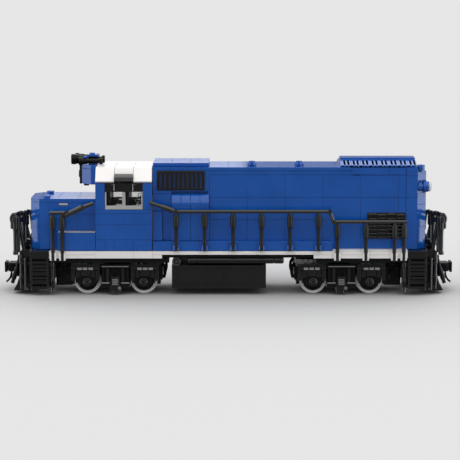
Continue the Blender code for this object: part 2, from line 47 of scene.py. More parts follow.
# Millimetres: X runs along the locomotive, Y across it and Z up.
STUD = 8.0
PLATE = 3.2
SEAM = 0.13  # half the gap between two bricks
DECK = 38.4
SIDE_FACE = 32.0
HOOD_FACE = 24.0
HOOD_TOP = 108.8
CORNER_X = 160.0
CORNER_Y = 16.0
CORNER = 8.0
RAIL_Y = 34.4
RAIL_RADIUS = 1.6
LOW_POSTS = (92, 116, 140, 148)
NOSE_POSTS = (-148, -140)
HIGH_POSTS = (-44, -20, 4, 28, 52, 76)
TRUCK_X = 96.0
AXLE_OFFSET = 24.0
AXLE_Z = 11.5

SHARP = 38.0  # degrees, above which an edge is bevelled
CAD_SHARP = 30.0  # degrees, above which an edge of a kept CAD node is shaded sharp
EDGE_WEAR = 0.35
# The sockets of a colour mix node.
FACTOR, FIRST, SECOND, RESULT = 0, 6, 7, 2


def pair(sign, a, b):
    """Two distances on the side of the sign, the lower first."""
    return sorted((sign * a, sign * b))


def add(name, data):
    """A new object in the scene."""
    obj = bpy.data.objects.new(name, data)
    bpy.context.scene.collection.objects.link(obj)
    return obj


def blocks(shape, origin=0.0, end=1, side=1):
    """A box function that measures outwards, from an origin along X, for one end and one side."""

    def block(x0, x1, y0, y1, z0, z1):
        x = [origin + value for value in pair(end, x0, x1)]
        shape.box(*x, *pair(side, y0, y1), z0, z1)

    return block


def disc(radius, height):
    """Outline of a plain disc, for turning."""
    return [(0, 0), (radius, 0), (radius, height), (0, height)]


def ring(inner, outer, height):
    """Outline of a plain ring, for turning."""
    return [(inner, 0), (outer, 0), (outer, height), (inner, height)]


# ---------------------------------------------------------------- materials


def link(tree, a, out, b, into):
    tree.links.new(a.outputs[out], b.inputs[into])


def node(tree, kind, **values):
    """A new node, with each value set as a property, or else as the input of that name."""
    made = tree.nodes.new(kind)
    for key, value in values.items():
        if hasattr(made, key):
            setattr(made, key, value)
        else:
            made.inputs[key].default_value = value
    return made


def paint(name):
    """A new material, with its nodes and its shader."""
    mat = bpy.data.materials.new(name)
    mat.use_nodes = True
    return mat, mat.node_tree, mat.node_tree.nodes["Principled BSDF"]


def remap(tree, source, out, low, high, to_low=0.0, to_high=1.0):
    """A map range node that spreads the source's low to high over the new range."""
    made = node(tree, "ShaderNodeMapRange")
    for key, value in (("From Min", low), ("From Max", high), ("To Min", to_low), ("To Max", to_high)):
        made.inputs[key].default_value = value
    link(tree, source, out, made, "Value")
    return made


def plastic(name, colour, rough=0.13, spread=0.06, metallic=0.0, dust=0.05, alpha=1.0, shine=0.5):
    """Moulded plastic: flow variation in colour, dust specks, edges rubbed pale and a gloss with smudges."""
    mat, tree, shader = paint(name)
    coord = node(tree, "ShaderNodeTexCoord")
    broad = node(tree, "ShaderNodeTexNoise", Scale=45.0, Detail=3.0, Roughness=0.55)
    fine = node(tree, "ShaderNodeTexNoise", Scale=700.0, Detail=4.0, Roughness=0.6)
    specks = node(tree, "ShaderNodeTexNoise", Scale=2600.0, Detail=2.0, Roughness=0.5)
    for texture in (broad, fine, specks):
        link(tree, coord, "Object", texture, "Vector")

    tint = node(tree, "ShaderNodeValToRGB")
    low = [c * (1 - spread) for c in colour]
    high = [min(1.0, c * (1 + spread) + 0.002) for c in colour]
    for element, position, shade in zip(tint.color_ramp.elements, (0.3, 0.7), (low, high)):
        element.position = position
        element.color = (*shade, 1.0)
    link(tree, broad, "Fac", tint, "Fac")

    dusty = remap(tree, specks, "Fac", 0.6, 0.82, 0.0, dust)
    mix = node(tree, "ShaderNodeMix", data_type="RGBA")
    mix.inputs[SECOND].default_value = (0.55, 0.55, 0.56, 1.0)
    link(tree, dusty, "Result", mix, FACTOR)
    link(tree, tint, "Color", mix, FIRST)

    edge = remap(tree, node(tree, "ShaderNodeNewGeometry"), "Pointiness", 0.53, 0.66, 0.0, EDGE_WEAR)
    rubbed = node(tree, "ShaderNodeMath", operation="MULTIPLY")
    link(tree, edge, "Result", rubbed, 0)
    link(tree, broad, "Fac", rubbed, 1)
    worn = node(tree, "ShaderNodeMix", data_type="RGBA")
    worn.inputs[SECOND].default_value = (*[min(1.0, c * 1.8 + 0.03) for c in colour], 1.0)
    link(tree, rubbed, "Value", worn, FACTOR)
    link(tree, mix, RESULT, worn, FIRST)
    link(tree, worn, RESULT, shader, "Base Color")

    gloss = remap(tree, fine, "Fac", 0.35, 0.75, rough * 0.75, rough * 1.5)
    link(tree, gloss, "Result", shader, "Roughness")
    bump = node(tree, "ShaderNodeBump", Strength=0.05, Distance=0.0004)
    link(tree, fine, "Fac", bump, "Height")
    link(tree, bump, "Normal", shader, "Normal")
    shader.inputs["Metallic"].default_value = metallic
    shader.inputs["Alpha"].default_value = alpha
    shader.inputs["IOR"].default_value = 1.5
    shader.inputs["Specular IOR Level"].default_value = shine
    return mat


BLUE = plastic("moulded_blue", (0.002, 0.082, 0.39))
WHITE = plastic("moulded_white", (0.92, 0.895, 0.875), rough=0.16, spread=0.015)
BLACK = plastic("moulded_black", (0.0045, 0.0045, 0.0048), rough=0.15, dust=0.02, shine=0.38)
# Painted shade: a duller, darker copy of the black, for black parts that lie darker, mostly those in the
# shade under the deck.
SHADED_BLACK = plastic("moulded_black_painted_shade", (0.003, 0.003, 0.0031),
                rough=0.2, dust=0.015, shine=0.14)
DARK = plastic("moulded_dark_grey", (0.056, 0.058, 0.06), rough=0.2, dust=0.03)
BAR = plastic("moulded_bar", (0.0105, 0.0095, 0.008), rough=0.46, dust=0.02, shine=0.26)
ROD = plastic("moulded_rod", (0.0085, 0.0075, 0.006), rough=0.18, dust=0.02, shine=0.75)
TREAD = plastic("wheel_ring", (0.50, 0.50, 0.51), rough=0.42, spread=0.06, dust=0.02)
STONE = plastic("moulded_dull_grey", (0.16, 0.165, 0.165), rough=0.26, spread=0.05)
GREY = plastic("moulded_grey", (0.43, 0.435, 0.425), rough=0.17, spread=0.03)
TAN = plastic("moulded_tan", (0.42, 0.41, 0.39), rough=0.2, spread=0.03)
CLEAR = plastic("moulded_clear", (0.03, 0.035, 0.035),
                rough=0.05, spread=0.02, dust=0.0, alpha=0.12)
LENS = plastic("moulded_lens", (0.8, 0.82, 0.83), rough=0.08, spread=0.02, alpha=0.6)
METAL = plastic("cast_wheel", (0.40, 0.40, 0.41),
                rough=0.3, spread=0.08, metallic=0.85, dust=0.02)


# ---------------------------------------------------------------- shapes


class Shape:
    """Closed shells gathered in millimetres, which become one bevelled piece."""

    def __init__(self):
        self.bm = bmesh.new()

    def prism(self, axis, outline, start, end):
        """An outline drawn across an axis, carried from start to end along it."""
        place = {
            "x": lambda u, v, w: (w, u, v),
            "z": lambda u, v, w: (u, v, w),
        }[axis]
        first = [self.bm.verts.new(place(u, v, start)) for u, v in outline]
        last = [self.bm.verts.new(place(u, v, end)) for u, v in outline]
        self.bm.faces.new(first)
        self.bm.faces.new(last)
        for i, corner in enumerate(first):
            j = (i + 1) % len(first)
            self.bm.faces.new((corner, first[j], last[j], last[i]))

    def strip(self, side, outline, x0, x1):
        """An outline of (distance out, height) on one side, carried along X."""
        self.prism("x", [(side * out, height) for out, height in outline], x0, x1)

    def box(self, x0, x1, y0, y1, z0, z1):
        self.prism("z", [(x0, y0), (x1, y0), (x1, y1), (x0, y1)], z0, z1)

    def hull(self, points):
        """The convex shell round the points."""
        verts = [self.bm.verts.new(p) for p in points]
        bmesh.ops.convex_hull(self.bm, input=verts)
        spare = [v for v in verts if v.is_valid and not v.link_faces]
        bmesh.ops.delete(self.bm, geom=spare, context="VERTS")

    def turned(self, origin, direction, outline, sides=24, start=0.0, sweep=360.0):
        """Turns an outline of (radius, distance along) about a line."""
        along = Vector(direction).normalized()
        across = along.orthogonal().normalized()
        third = along.cross(across)
        origin = Vector(origin)
        whole = sweep >= 360.0
        loops = []
        for step in range(sides if whole else sides + 1):
            angle = math.radians(start + sweep * step / sides)
            out = across * math.cos(angle) + third * math.sin(angle)
            loop = []
            for radius, distance in outline:
                if radius < 1e-6 and loops:
                    loop.append(loops[0][len(loop)])
                else:
                    loop.append(self.bm.verts.new(origin + along * distance + out * radius))
            loops.append(loop)
        spans = [(j, j + 1) for j in range(len(outline) - 1)]
        if outline[0][0] > 1e-6:
            spans.append((len(outline) - 1, 0))
        for a, b in list(zip(loops, loops[1:])) + ([(loops[-1], loops[0])] if whole else []):
            for j, k in spans:
                corners = []
                for corner in (a[j], a[k], b[k], b[j]):
                    if corner not in corners:
                        corners.append(corner)
                if len(corners) > 2:
                    self.bm.faces.new(corners)
        if not whole:
            self.bm.faces.new(loops[0])
            self.bm.faces.new(loops[-1])

    def rod(self, start, end, radius, end_radius=None, sides=16):
        run = Vector(end) - Vector(start)
        last = radius if end_radius is None else end_radius
        self.turned(start, run, [(0, 0), (radius, 0), (last, run.length), (0, run.length)], sides)

    def tube(self, points, radius, sides=12):
        """A smooth bent bar through the points."""
        centres = smooth_line([Vector(p) for p in points])
        loops = []
        across = (centres[1] - centres[0]).orthogonal().normalized()
        for i, centre in enumerate(centres):
            before = centres[max(i - 1, 0)]
            after = centres[min(i + 1, len(centres) - 1)]
            along = (after - before).normalized()
            across = (across - along * across.dot(along)).normalized()
            third = along.cross(across)
            loop = []
            for step in range(sides):
                angle = 2 * math.pi * step / sides
                out = across * math.cos(angle) + third * math.sin(angle)
                loop.append(self.bm.verts.new(centre + out * radius))
            loops.append(loop)
        for a, b in zip(loops, loops[1:]):
            for j in range(sides):
                k = (j + 1) % sides
                self.bm.faces.new((a[j], a[k], b[k], b[j]))
        self.bm.faces.new(loops[0])
        self.bm.faces.new(loops[-1])

    def panels(self, side, face, rows, depth=1.6):
        """Brick faces on one long side: rows of (low, high, seam positions)."""
        for low, high, seams in rows:
            for a, b in zip(seams, seams[1:]):
                y = pair(side, face - depth, face)
                self.box(a + SEAM, b - SEAM, *y, low + SEAM, high - SEAM)

    def tiles(self, top, xs, ys, depth=1.3):
        """Tile faces on a flat top."""
        for a, b in zip(xs, xs[1:]):
            for c, d in zip(ys, ys[1:]):
                self.box(a + SEAM, b - SEAM, c + SEAM, d - SEAM, top - depth, top)

    def stud(self, x, y, z):
        self.turned((x, y, z), UP, [(0, -0.4), (2.4, -0.4), (2.4, 1.7), (0, 1.7)], 20)

    def make(self, name, mat, bevel=0.11, replaces=(), body=BODY):
        """Closes the shape into an object that rides on a body, in a finish, in place of CAD nodes."""
        bmesh.ops.scale(self.bm, vec=Vector((MM, MM, MM)), verts=self.bm.verts)
        bmesh.ops.recalc_face_normals(self.bm, faces=self.bm.faces)
        mesh = bpy.data.meshes.new(name)
        self.bm.to_mesh(mesh)
        self.bm.free()
        obj = add(name, mesh)
        finish(obj, mat, bevel, SHARP)
        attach(obj, body)
        if replaces:
            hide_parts(*replaces)


def finish(obj, mat, bevel, sharp):
    """Gives an object its material, smooth shading, and rounded edges where the bevel is not 0."""
    obj.data.materials.clear()
    obj.data.materials.append(mat)
    obj.data.shade_smooth()
    obj.data.set_sharp_from_angle(angle=math.radians(sharp))
    if bevel:
        edge = obj.modifiers.new("edges", "BEVEL")
        edge.width = bevel * MM
        edge.segments = 2
        edge.limit_method = "ANGLE"
        edge.angle_limit = math.radians(SHARP)
        edge.harden_normals = True
        edge.use_clamp_overlap = True


def smooth_line(points):
    """Catmull-Rom points through the given ones, five to a span."""
    steps = 5
    padded = [2 * points[0] - points[1]] + points + [2 * points[-1] - points[-2]]
    line = []
    for i in range(len(points) - 1):
        a, b, c, d = padded[i : i + 4]
        for step in range(steps):
            t = step / steps
            square = (2 * a - 5 * b + 4 * c - d) * t**2
            line.append(0.5 * ((2 * b) + (c - a) * t + square + (3 * b - a - 3 * c + d) * t**3))
    line.append(points[-1])
    return line


def span(low, high, step):
    """Positions from low to high, a step apart, ending on high."""
    found = [low]
    while found[-1] + step < high - 0.1:
        found.append(found[-1] + step)
    return found + [high]


def keep(name, mat, bevel=0.15):
    """A CAD node that stays, with its finish and softened edges."""
    finish(nodes[name], mat, bevel, CAD_SHARP)


def clip(shape, x, side, low, high):
    """A C-shaped clip round a handrail post, open outwards, on its short arm."""
    mouth = 96.0
    outline = [(1.6, low), (2.8, low), (2.8, high), (1.6, high)]
    start = outward_angle(side) + mouth / 2
    shape.turned((x, side * RAIL_Y, 0), UP, outline, 20, start, 360.0 - mouth)
    shape.box(x - 1.6, x + 1.6, *pair(side, 31.5, 32.6), low, high)


def outward_angle(side):
    """The angle at which Shape.turned, about an upright line, points away from the body."""
    across = Vector(UP).orthogonal().normalized()
    third = Vector(UP).cross(across)
    outward = Vector((0, side, 0))
    return math.degrees(math.atan2(outward.dot(third), outward.dot(across)))


# ---------------------------------------------------------------- body


def build_sill(side, word):
    s = Shape()
    y = pair(side, 24.1, 31.2)
    s.box(-151.5, 151.5, *y, 35.5, 38.2)
    s.box(-151.5, -56.3, *y, 32.3, 36.0)
    s.box(72.3, 151.5, *y, 32.3, 36.0)
    rows = [
        (35.2, 38.4, [-151.7, -144, -112]),
        (32.0, 35.2, [-151.7, -128, -112]),
        (32.0, 38.4, [-112, -80, -64]),
        (35.2, 38.4, [-64, -24, 0, 24, 56, 72]),
        (32.0, 35.2, [-64, -56]),
        (35.2, 38.4, [72, 96, 120, 136, 151.7]),
        (32.0, 35.2, [72, 88, 120, 151.7]),
    ]
    s.panels(side, SIDE_FACE, rows)
    s.make(f"deck_edge_{word}", WHITE, replaces=[f"side_sill_{word}"])
    c = Shape()
    for x in NOSE_POSTS + LOW_POSTS:
        clip(c, x, side, 30.9, 37.2)
    c.make(f"deck_clips_{word}", WHITE, bevel=0.12)
    f = Shape()
    for x0, x1 in ((-151, -50), (74, 151)):
        f.box(x0, x1, *pair(side, 25.5, 30.6), 28.3, 31.9)
    f.box(-64, 74, *pair(side, 22.5, 30.4), 32.6, 35.1)
    f.make(f"deck_beam_{word}", SHADED_BLACK)
    t = Shape()
    t.tiles(39.3, [88.2, 112, 136, 151.7], pair(side, 24.4, 31.9), depth=0.8)
    t.make(f"walkway_tiles_{word}", WHITE)


def build_skirt(side, word):
    s = Shape()
    y = pair(side, 24.4, 31.2)
    s.box(-63.6, 87.7, *y, 38.8, 45.8)
    seams = [-63.7]
    for x in HIGH_POSTS:
        seams += [x - 4, x + 4]
    seams.append(87.9)
    s.panels(side, SIDE_FACE, [(38.5, 46.4, seams)])
    s.tiles(46.4, span(-63.7, 87.9, 24.0), pair(side, 24.4, 30.6))
    s.make(f"walkway_edge_{word}", BLUE, replaces=[f"walkway_skirt_{word}"])
    c = Shape()
    for x in HIGH_POSTS:
        clip(c, x, side, 39.8, 43.8)
    c.make(f"walkway_clips_{word}", BLUE, bevel=0.12)


def corner_line(side, depth):
    """One cut corner of a hood in plan, from its side to its end, for a corner of this depth."""
    return [(CORNER_X, side * (CORNER_Y + depth)), (CORNER_X + depth, side * CORNER_Y)]


def corner_panels(s, end, seams):
    """The cut corners and the end face of a hood, one row of bricks between each two seams."""
    front = CORNER_X + CORNER
    for low, high in zip(seams, seams[1:]):
        for side in (-1, 1):
            plan = corner_line(side, CORNER) + corner_line(side, CORNER - 1.4)[::-1]
            s.prism("z", [(end * x, y) for x, y in plan], low + SEAM, high - SEAM)
        x = pair(end, front - 1.2, front)
        for a, b in ((-15.9, 0), (0, 15.9)):
            s.box(*x, a + SEAM, b - SEAM, low + SEAM, high - SEAM)


def hood_plan(end, start, depth):
    """A hood's plan from a start to its cut end corners."""
    plan = [(start, -CORNER_Y - depth)] + corner_line(-1, depth) + corner_line(1, depth)[::-1]
    return [(end * x, y) for x, y in plan + [(start, CORNER_Y + depth)]]


def build_nose():
    s = Shape()
    s.prism("z", hood_plan(-1, 112.6, 7.2), 38.9, 81.0)
    for side in (-1, 1):
        rows = [
            (54.6, 68.8, [-152, -128, -112.4]),
            (68.8, 78.7, [-152, -143.6, -135.6, -112.4]),
            (78.8, 81.9, [-160, -136, -112.4]),
            (38.6, 54.6, [-152, -144, -112.4]),
            (38.6, 78.7, [-160, -152]),
        ]
        s.panels(side, HOOD_FACE, rows)
    corner_panels(s, -1, [38.6, 48.0, 57.6, 67.2, 78.5])
    s.prism("z", hood_plan(-1, 160.05, 7.9), 78.8, 81.9)
    s.tiles(81.9, [-159.6, -144, -128, -112.4], [-23.9, -8, 8, 23.9])
    s.make("nose_bricks", BLUE, replaces=["nose_shell"])
    for side, word in SIDES:
        c = Shape()
        outline = [(0, -1), (2.5, -1), (2.5, 0.3), (3.2, 0.4), (3.2, 1.7), (2.9, 2.0), (0, 2.1)]
        c.turned((-154.6, side * 16, 81.9), UP, outline, 24)
        c.make(f"nose_cap_{word}", BLUE, bevel=0)
        light = Shape()
        light.box(-143.2, -135.9, *pair(side, 23.0, 24.5), 76.6, 78.2)
        light.make(f"nose_light_{word}", GREY)
        battery(side, word)


def battery(side, word):
    s = Shape()
    y = pair(side, 24.4, 31.2)
    s.box(-143.7, -112.6, *y, 38.9, 54.1)
    s.panels(side, SIDE_FACE, [(38.6, 54.2, [-144, -112.4])])
    for x in (-144.0, -113.4):
        s.box(x, x + 1.0, *pair(side, 24.4, 31.9), 38.7, 54.1)
    s.make(f"battery_bricks_{word}", BLUE, replaces=[f"battery_box_{word}"])
    t = Shape()
    t.tiles(54.7, [-144, -112.4], pair(side, 24.3, 31.9), depth=0.5)
    t.make(f"battery_lid_{word}", TAN)


def build_cab():
    s = Shape()
    for side in (-1, 1):
        inner = pair(side, 25.2, 31.2)
        s.box(-111.3, -65.0, *inner, 38.9, 73.0)
        s.box(-111.3, -104.3, *inner, 73.0, 95.8)
        s.box(-71.7, -65.0, *inner, 73.0, 95.8)
        rows = [
            (38.6, 48.0, [-112, -104, -96, -80, -64.4]),
            (48.0, 60.8, [-112, -64.4]),
            (60.8, 70.4, [-112, -96, -80, -64.4]),
            (70.4, 73.6, [-112, -64.4]),
            (73.6, 96.0, [-112, -104]),
            (73.6, 96.0, [-72, -64.4]),
        ]
        s.panels(side, SIDE_FACE, rows)
    for x0, x1 in ((-112.0, -108.2), (-69.0, -64.4)):
        for z0, z1 in ((38.6, 57.6), (57.6, 76.8), (76.8, 83.4)):
            for side in (-1, 1):
                s.box(x0, x1, *pair(side, SEAM, 30.7), z0 + SEAM, z1 - SEAM)
    s.box(-69.0, -64.4, -30.7, 30.7, 83.4, 95.9)
    for y0, y1 in ((-30.7, -22), (-4, 4), (22, 30.7)):
        s.box(-112.0, -108.2, y0, y1, 83.4, 92.7)
    s.box(-112.0, -108.2, -30.7, 30.7, 92.7, 95.9)
    s.box(-111.5, -65, -25, 25, 38.8, 41.8)
    s.make("cab_bricks", BLUE, replaces=["cab_shell"])
    for side, word in SIDES:
        build_window(side, word)
    keep("windshield", CLEAR, 0.05)
    build_seats()


def build_window(side, word):
    s = Shape()
    y = pair(side, 28.2, 31.4)
    s.box(-103.9, -72.1, *y, 73.8, 76.9)
    for x0, x1 in ((-103.9, -102.7), (-89.3, -88.05), (-87.95, -86.7), (-73.3, -72.1)):
        s.box(x0, x1, *y, 76.8, 88.6)
    for x in (-96.4, -80.6):
        s.box(x, x + 0.6, *pair(side, 31.2, 32.0), 89.6, 95.4)
    s.make(f"window_bars_{word}", GREY, bevel=0.2, replaces=[f"window_frame_{word}"])
    head = Shape()
    head.box(-103.9, -72.1, *pair(side, 26.0, 31.3), 88.7, 95.9)
    for x in (-98.4, -79.6):
        head.rod((x, side * 31.4, 94.4), (x + 2.0, side * 31.4, 94.4), 1.1)
    head.make(f"window_head_{word}", BLACK)
    keep(f"window_pane_{word}", CLEAR, 0.05)


def build_seats():
    """Two seats, the control stand, and black sheets lining the cab walls inside, which paint the shade of
    the closed cab.
    """
    s = Shape()
    for x in (-103.0, -87.0):
        for side in (-1, 1):
            s.box(x - 2.6, x + 3.0, *pair(side, 6, 20), 55, 93)
            s.box(x + 2.6, x + 12, *pair(side, 6, 20), 55, 60)
            s.box(x - 1, x + 5, *pair(side, 10, 16), 42.2, 55.4)
    # Painted shade: black sheets inside the walls and beside the windows darken the cab's inside.
    for side in (-1, 1):
        s.box(-107.6, -69.3, *pair(side, 23.8, 25.1), 42.1, 75.6)
        for x in (-107.6, -71.8):
            s.box(x, x + 2.4, *pair(side, 22.0, 25.1), 75.0, 95.6)
    s.make("cab_seats", BLACK, bevel=0.3)
    c = Shape()
    for side in (-1, 1):
        for x in (-95.5, -78.5):
            c.box(x, x + 5, *pair(side, 14, 22), 74.2, 76.2)
        c.turned((-76.5, side * 18, 79.5), (0, side, 0.5), ring(1.9, 2.5, 0.6), 24)
        c.rod((-76.5, side * 18, 74.6), (-76.5, side * 18.2, 79.5), 0.5)
    c.make("cab_controls", GREY, bevel=0.15)


def build_roof():
    s = Shape()
    top, eave = 108.8, 97.8
    for a, b in ((-112.0, -96.0), (-96.0, -80.0), (-80.0, -64.4)):
        for side in (-1, 1):
            if a == -96.0:
                slope = [(24, top), (28.0, 103.3), (28.0, 100.5), (22.6, 106.2)]
            else:
                slope = [(24, top), (32, eave), (31.9, 97.3), (30.2, 96.1), (29.4, 96.6), (22.6, 106.6)]
            s.strip(side, slope, a + SEAM, b - SEAM)
        s.box(a + SEAM, b - SEAM, -23.9, 23.9, 106.9, top)
    for x0, x1 in ((-112.0, -110.8), (-65.6, -64.4)):
        end_plan = [(-30, 96.4), (30, 96.4), (30, 98), (23.4, 107.4), (-23.4, 107.4), (-30, 98)]
        s.prism("x", end_plan, x0 + 0.2, x1)
    s.make("cab_roof_bricks", WHITE, bevel=0.2, replaces=["cab_roof"])
    for side, word in SIDES:
        shade = Shape()
        outline = [(28.3, 96.8), (31.0, 96.8), (33.3, 98.0), (33.3, 101.2), (32.4, 102.0), (28.3, 103.8)]
        shade.strip(side, outline, -95.9, -80.1)
        shade.make(f"sunshade_panel_{word}", DARK, bevel=0.25, replaces=[f"sunshade_{word}"])


def build_headlight():
    s = Shape()
    plan = [(-112.2, -16), (-112.2, 16), (-116.7, 16), (-125, 8), (-125, -8), (-116.7, -16)]
    s.prism("z", plan, 93.1, 106.1)
    s.prism("z", plan, 106.2, 109.4)
    for side in (-1, 1):
        s.stud(-117, side * 4, 109.4)
    s.make("headlight_body", BLUE, bevel=0.25, replaces=["headlight_housing"])
    p = Shape()
    p.box(-127, -125.1, -8, 8, 93.0, 109.4)
    p.box(-123.4, -119.2, -7.6, 7.6, 91.3, 93.0)
    for y in (-3.8, 3.8):
        p.turned((-127, y, 101.2), (-1, 0, 0), ring(2.2, 3.2, 0.75), 24)
    p.make("headlight_front", BLACK, replaces=["headlight_plate"])
    lens = Shape()
    for y in (-3.8, 3.8):
        dome = [(0, 0.62), (1.2, 0.55), (2.15, 0.3), (2.15, -0.4), (0, -0.4)]
        lens.turned((-127, y, 101.2), (-1, 0, 0), dome, 24)
    lens.make("headlight_lenses", LENS, bevel=0)


def build_horn():
    """Three bells on one bracket: a long one and two short ones, with their blue mounts."""
    z = 113.2
    s = Shape()
    bell = [(0, 0), (3.0, 0.2), (3.4, 0.0), (4.2, 0.0), (4.5, 0.8), (4.5, 3.6), (4.0, 4.6), (4.0, 6.2),
            (3.5, 6.9), (3.3, 9.5), (2.8, 10.2), (2.8, 15), (2.4, 15.6), (2.4, 26), (3.2, 26.4), (3.5, 27.0),
            (3.2, 28.6), (0, 28.6)]
    s.turned((-134.5, 0, z), ALONG, bell, 24)
    small = [(0, 0.3), (1.9, 0.3), (2.2, 0), (3.3, 0), (3.3, 2.4), (2.6, 3.4), (2.5, 6.8), (2.0, 7.6),
             (2.0, 17.5), (2.8, 18), (2.8, 20.4), (0, 20.4)]
    for side, start in ((-1, -127.5), (1, -131.5)):
        s.turned((start, side * 7.2, z + 0.2 + side * 1.2), ALONG, small, 20)
        for x in (start + 17, start + 9):
            s.rod((x, side * 7.2, z + side * 1.2), (x, 0, z), 1.6)
    s.make("horn_bells", SHADED_BLACK, bevel=0, replaces=["horn"])
    b = Shape()
    for side in (-1, 1):
        b.turned((-115, side * 4, 109.5), UP, disc(2.4, 1.9), 20)
    b.box(-119.5, -112.5, -3.2, 3.2, 109.5, 112.2)
    b.box(-119.5, -111.2, -3.6, 3.6, 115.7, 117.5)
    b.turned((-116.6, 0, 117.4), UP, disc(2.4, 1.4), 20)
    b.turned((-123.5, -7.4, 115.6), ALONG, disc(1.2, 3), 16)
    b.make("horn_bracket", BLUE, bevel=0.15)


def build_filter():
    s = Shape()
    core = ((22.7, 38.9, 86.0), (20.0, 85.5, 89.0), (22.7, 88.2, 107.9), (19.2, 107.0, 111.3))
    for half, low, high in core:
        s.box(-63.8, -16.4, -half, half, low, high)
    end = -16.2
    tops = [[a + 0.15, b - 0.15] for a, b in ((-64, -48), (-48, -32), (-32, end))]
    for side in (-1, 1):
        rows = [
            (38.6, 46.4, [-64, end]),
            (46.4, 71.6, [-64, -56, end]),
            (71.6, 86.2, [-64, -48]),
            (71.6, 76.0, [-48, end]),
            (88.2, 89.4, [-48, end]),
            (86.2, 89.4, [-64, -48]),
            (105.8, 108.8, [-64, -48, -32, end]),
            (89.4, 105.8, [-64, -60.2]),
            (89.4, 105.8, [-19.8, end]),
        ]
        s.panels(side, HOOD_FACE, rows)
        for xs in tops:
            s.panels(side, 20.0, [(108.9, 112.0, xs)])
    for xs in tops:
        s.tiles(112.0, xs, [-19.9, 0, 19.9])
    for x in (-64.0, end - 1.0):
        s.box(x, x + 1.0, -23.6, 23.6, 84, 108.7)
    s.make("filter_bricks", BLUE, replaces=["filter_hood"])
    for side, word in SIDES:
        duct(side, word)
        grille(side, word)


def duct(side, word):
    """The raised duct under the grille: four curved slopes over a plain box, and a narrow box beside it."""
    s = Shape()
    curve = [(22.5, 76.0), (28.0, 76.0), (28.0, 77.6), (27.7, 79.4), (27.1, 81.2), (26.2, 83.0), (25.0, 84.6),
             (23.6, 85.8), (22.5, 86.3)]
    for i in range(4):
        x = -48 + i * 8
        s.strip(side, curve, x + SEAM, x + (7.7 if i == 3 else 8) - SEAM)
    y = pair(side, 23.2, 28.0)
    for x0, x1 in ((-48, -32), (-32, -16.3)):
        s.box(x0 + SEAM, x1 - SEAM, *y, 46.7, 75.9)
    s.box(-63.8, -56.1, *y, 46.7, 71.5)
    s.make(f"duct_box_{word}", BLUE, bevel=0.22)


def grille(side, word):
    s = Shape()
    for i in range(11):
        x = -60 + i * 3.75
        s.box(x, x + 2.5, *pair(side, 24.1, 25.7), 89.8, 105.4)
    for z in (89.6, 104.0):
        s.box(-60, -20, *pair(side, 23.7, 25.2), z, z + 1.6)
    s.make(f"intake_bars_{word}", BLACK, bevel=0.3, replaces=[f"intake_grille_{word}"])


def build_long_hood():
    s = Shape()
    s.prism("z", hood_plan(1, -16.6, 6.7), 38.9, 98.0)
    s.box(-16.6, 96.0, -22.7, 22.7, 97.5, 107.9)
    s.box(95.5, 159.8, -7.6, 7.6, 97.5, 107.9)
    s.box(158.8, 159.8, -22.7, 22.7, 97.5, 107.9)
    s.prism("z", hood_plan(1, 159.5, 6.7), 97.5, 104.5)
    main = [-16, 16, 48, 80, 112, 144, 150]
    for side in (-1, 1):
        s.box(95.5, 159.8, *pair(side, 21.8, 22.7), 97.5, 108.2)
        rows = [
            (105.7, 108.8, [-16, 16, 48, 80, 103.8]),
            (102.4, 105.5, [-16, 24, 56, 72, 103.8]),
            (101.6, 102.4, [103.8, 150]),
            (83.2, 102.4, main[:5]),
            (83.2, 101.6, main[4:]),
            (64.0, 83.2, main),
            (38.6, 64.0, main),
            (101.6, 104.8, [150.4, 160]),
            (83.2, 101.6, [150.4, 160]),
            (38.6, 83.2, [150.4, 160]),
            (104.8, 108.8, [150.4, 160]),
        ]
        s.panels(side, HOOD_FACE, rows)
        s.panels(side, 23.5, [(102.4, 108.6, [104, 120, 136, 150])])
    corner_panels(s, 1, [38.6, 57.6, 76.8, 86.6])
    corner_panels(s, 1, [97.4, 104.6])
    for side in (-1, 1):
        s.box(160, 166.2, *pair(side, 15, 18), 86.6, 97.4)
    for a, b in ((-15.9, 0), (0, 15.9)):
        s.box(166.8, 168, a + SEAM, b - SEAM, 86.6 + SEAM, 97.4 - SEAM)
    s.tiles(HOOD_TOP, [-15.9, 0, 32, 64, 92], [-23.9, -8, 8, 23.9])
    s.tiles(HOOD_TOP, [92, 95.6], [-23.9, 0, 23.9])
    s.tiles(HOOD_TOP, [95.6, 128, 160], [-8, 8])
    s.make("long_hood_bricks", BLUE, replaces=["long_hood"])
    d = Shape()
    stack = [(0, 0), (3.2, 0), (3.2, 0.6), (4.0, 0.6), (4.0, 2.4), (2.6, 2.4), (2.6, 4.1), (0, 4.1)]
    for x in (20.0, 60.0):
        d.turned((x, -12, HOOD_TOP), UP, stack, 28)
    cap = [(0, 0), (2.3, 0), (2.3, 2.0), (3.2, 2.2), (3.2, 6.0), (0, 6.1)]
    d.turned((163.0, -20, 104.4), UP, cap, 28)
    d.make("roof_discs", BLUE, bevel=0.15)
    for side, word in SIDES:
        louvre(side, word)
        marker(side, word)


def louvre(side, word):
    s = Shape()
    x0, x1 = 117.8, 149.8
    s.box(x0, x1, *pair(side, 24.1, 25.0), 48.1, 70.3)
    for x in (x0, x1 - 0.8):
        s.box(x, x + 0.8, *pair(side, 24.5, 26.0), 48.1, 70.3)
    for row in range(7):
        for i in range(4):
            z = 48.3 + row * PLATE + (0.0 if (row + i) % 2 else 0.5)
            slat = [(24.8, z), (26.1, z), (26.2, z + 0.8), (25.6, z + 1.6), (24.8, z + 2.0)]
            a = x0 + 0.5 + i * 7.85
            s.strip(side, slat, a + 0.5, a + 7.35)
    s.make(f"louvre_slats_{word}", BLACK, bevel=0.15, replaces=[f"louvre_panel_{word}"])


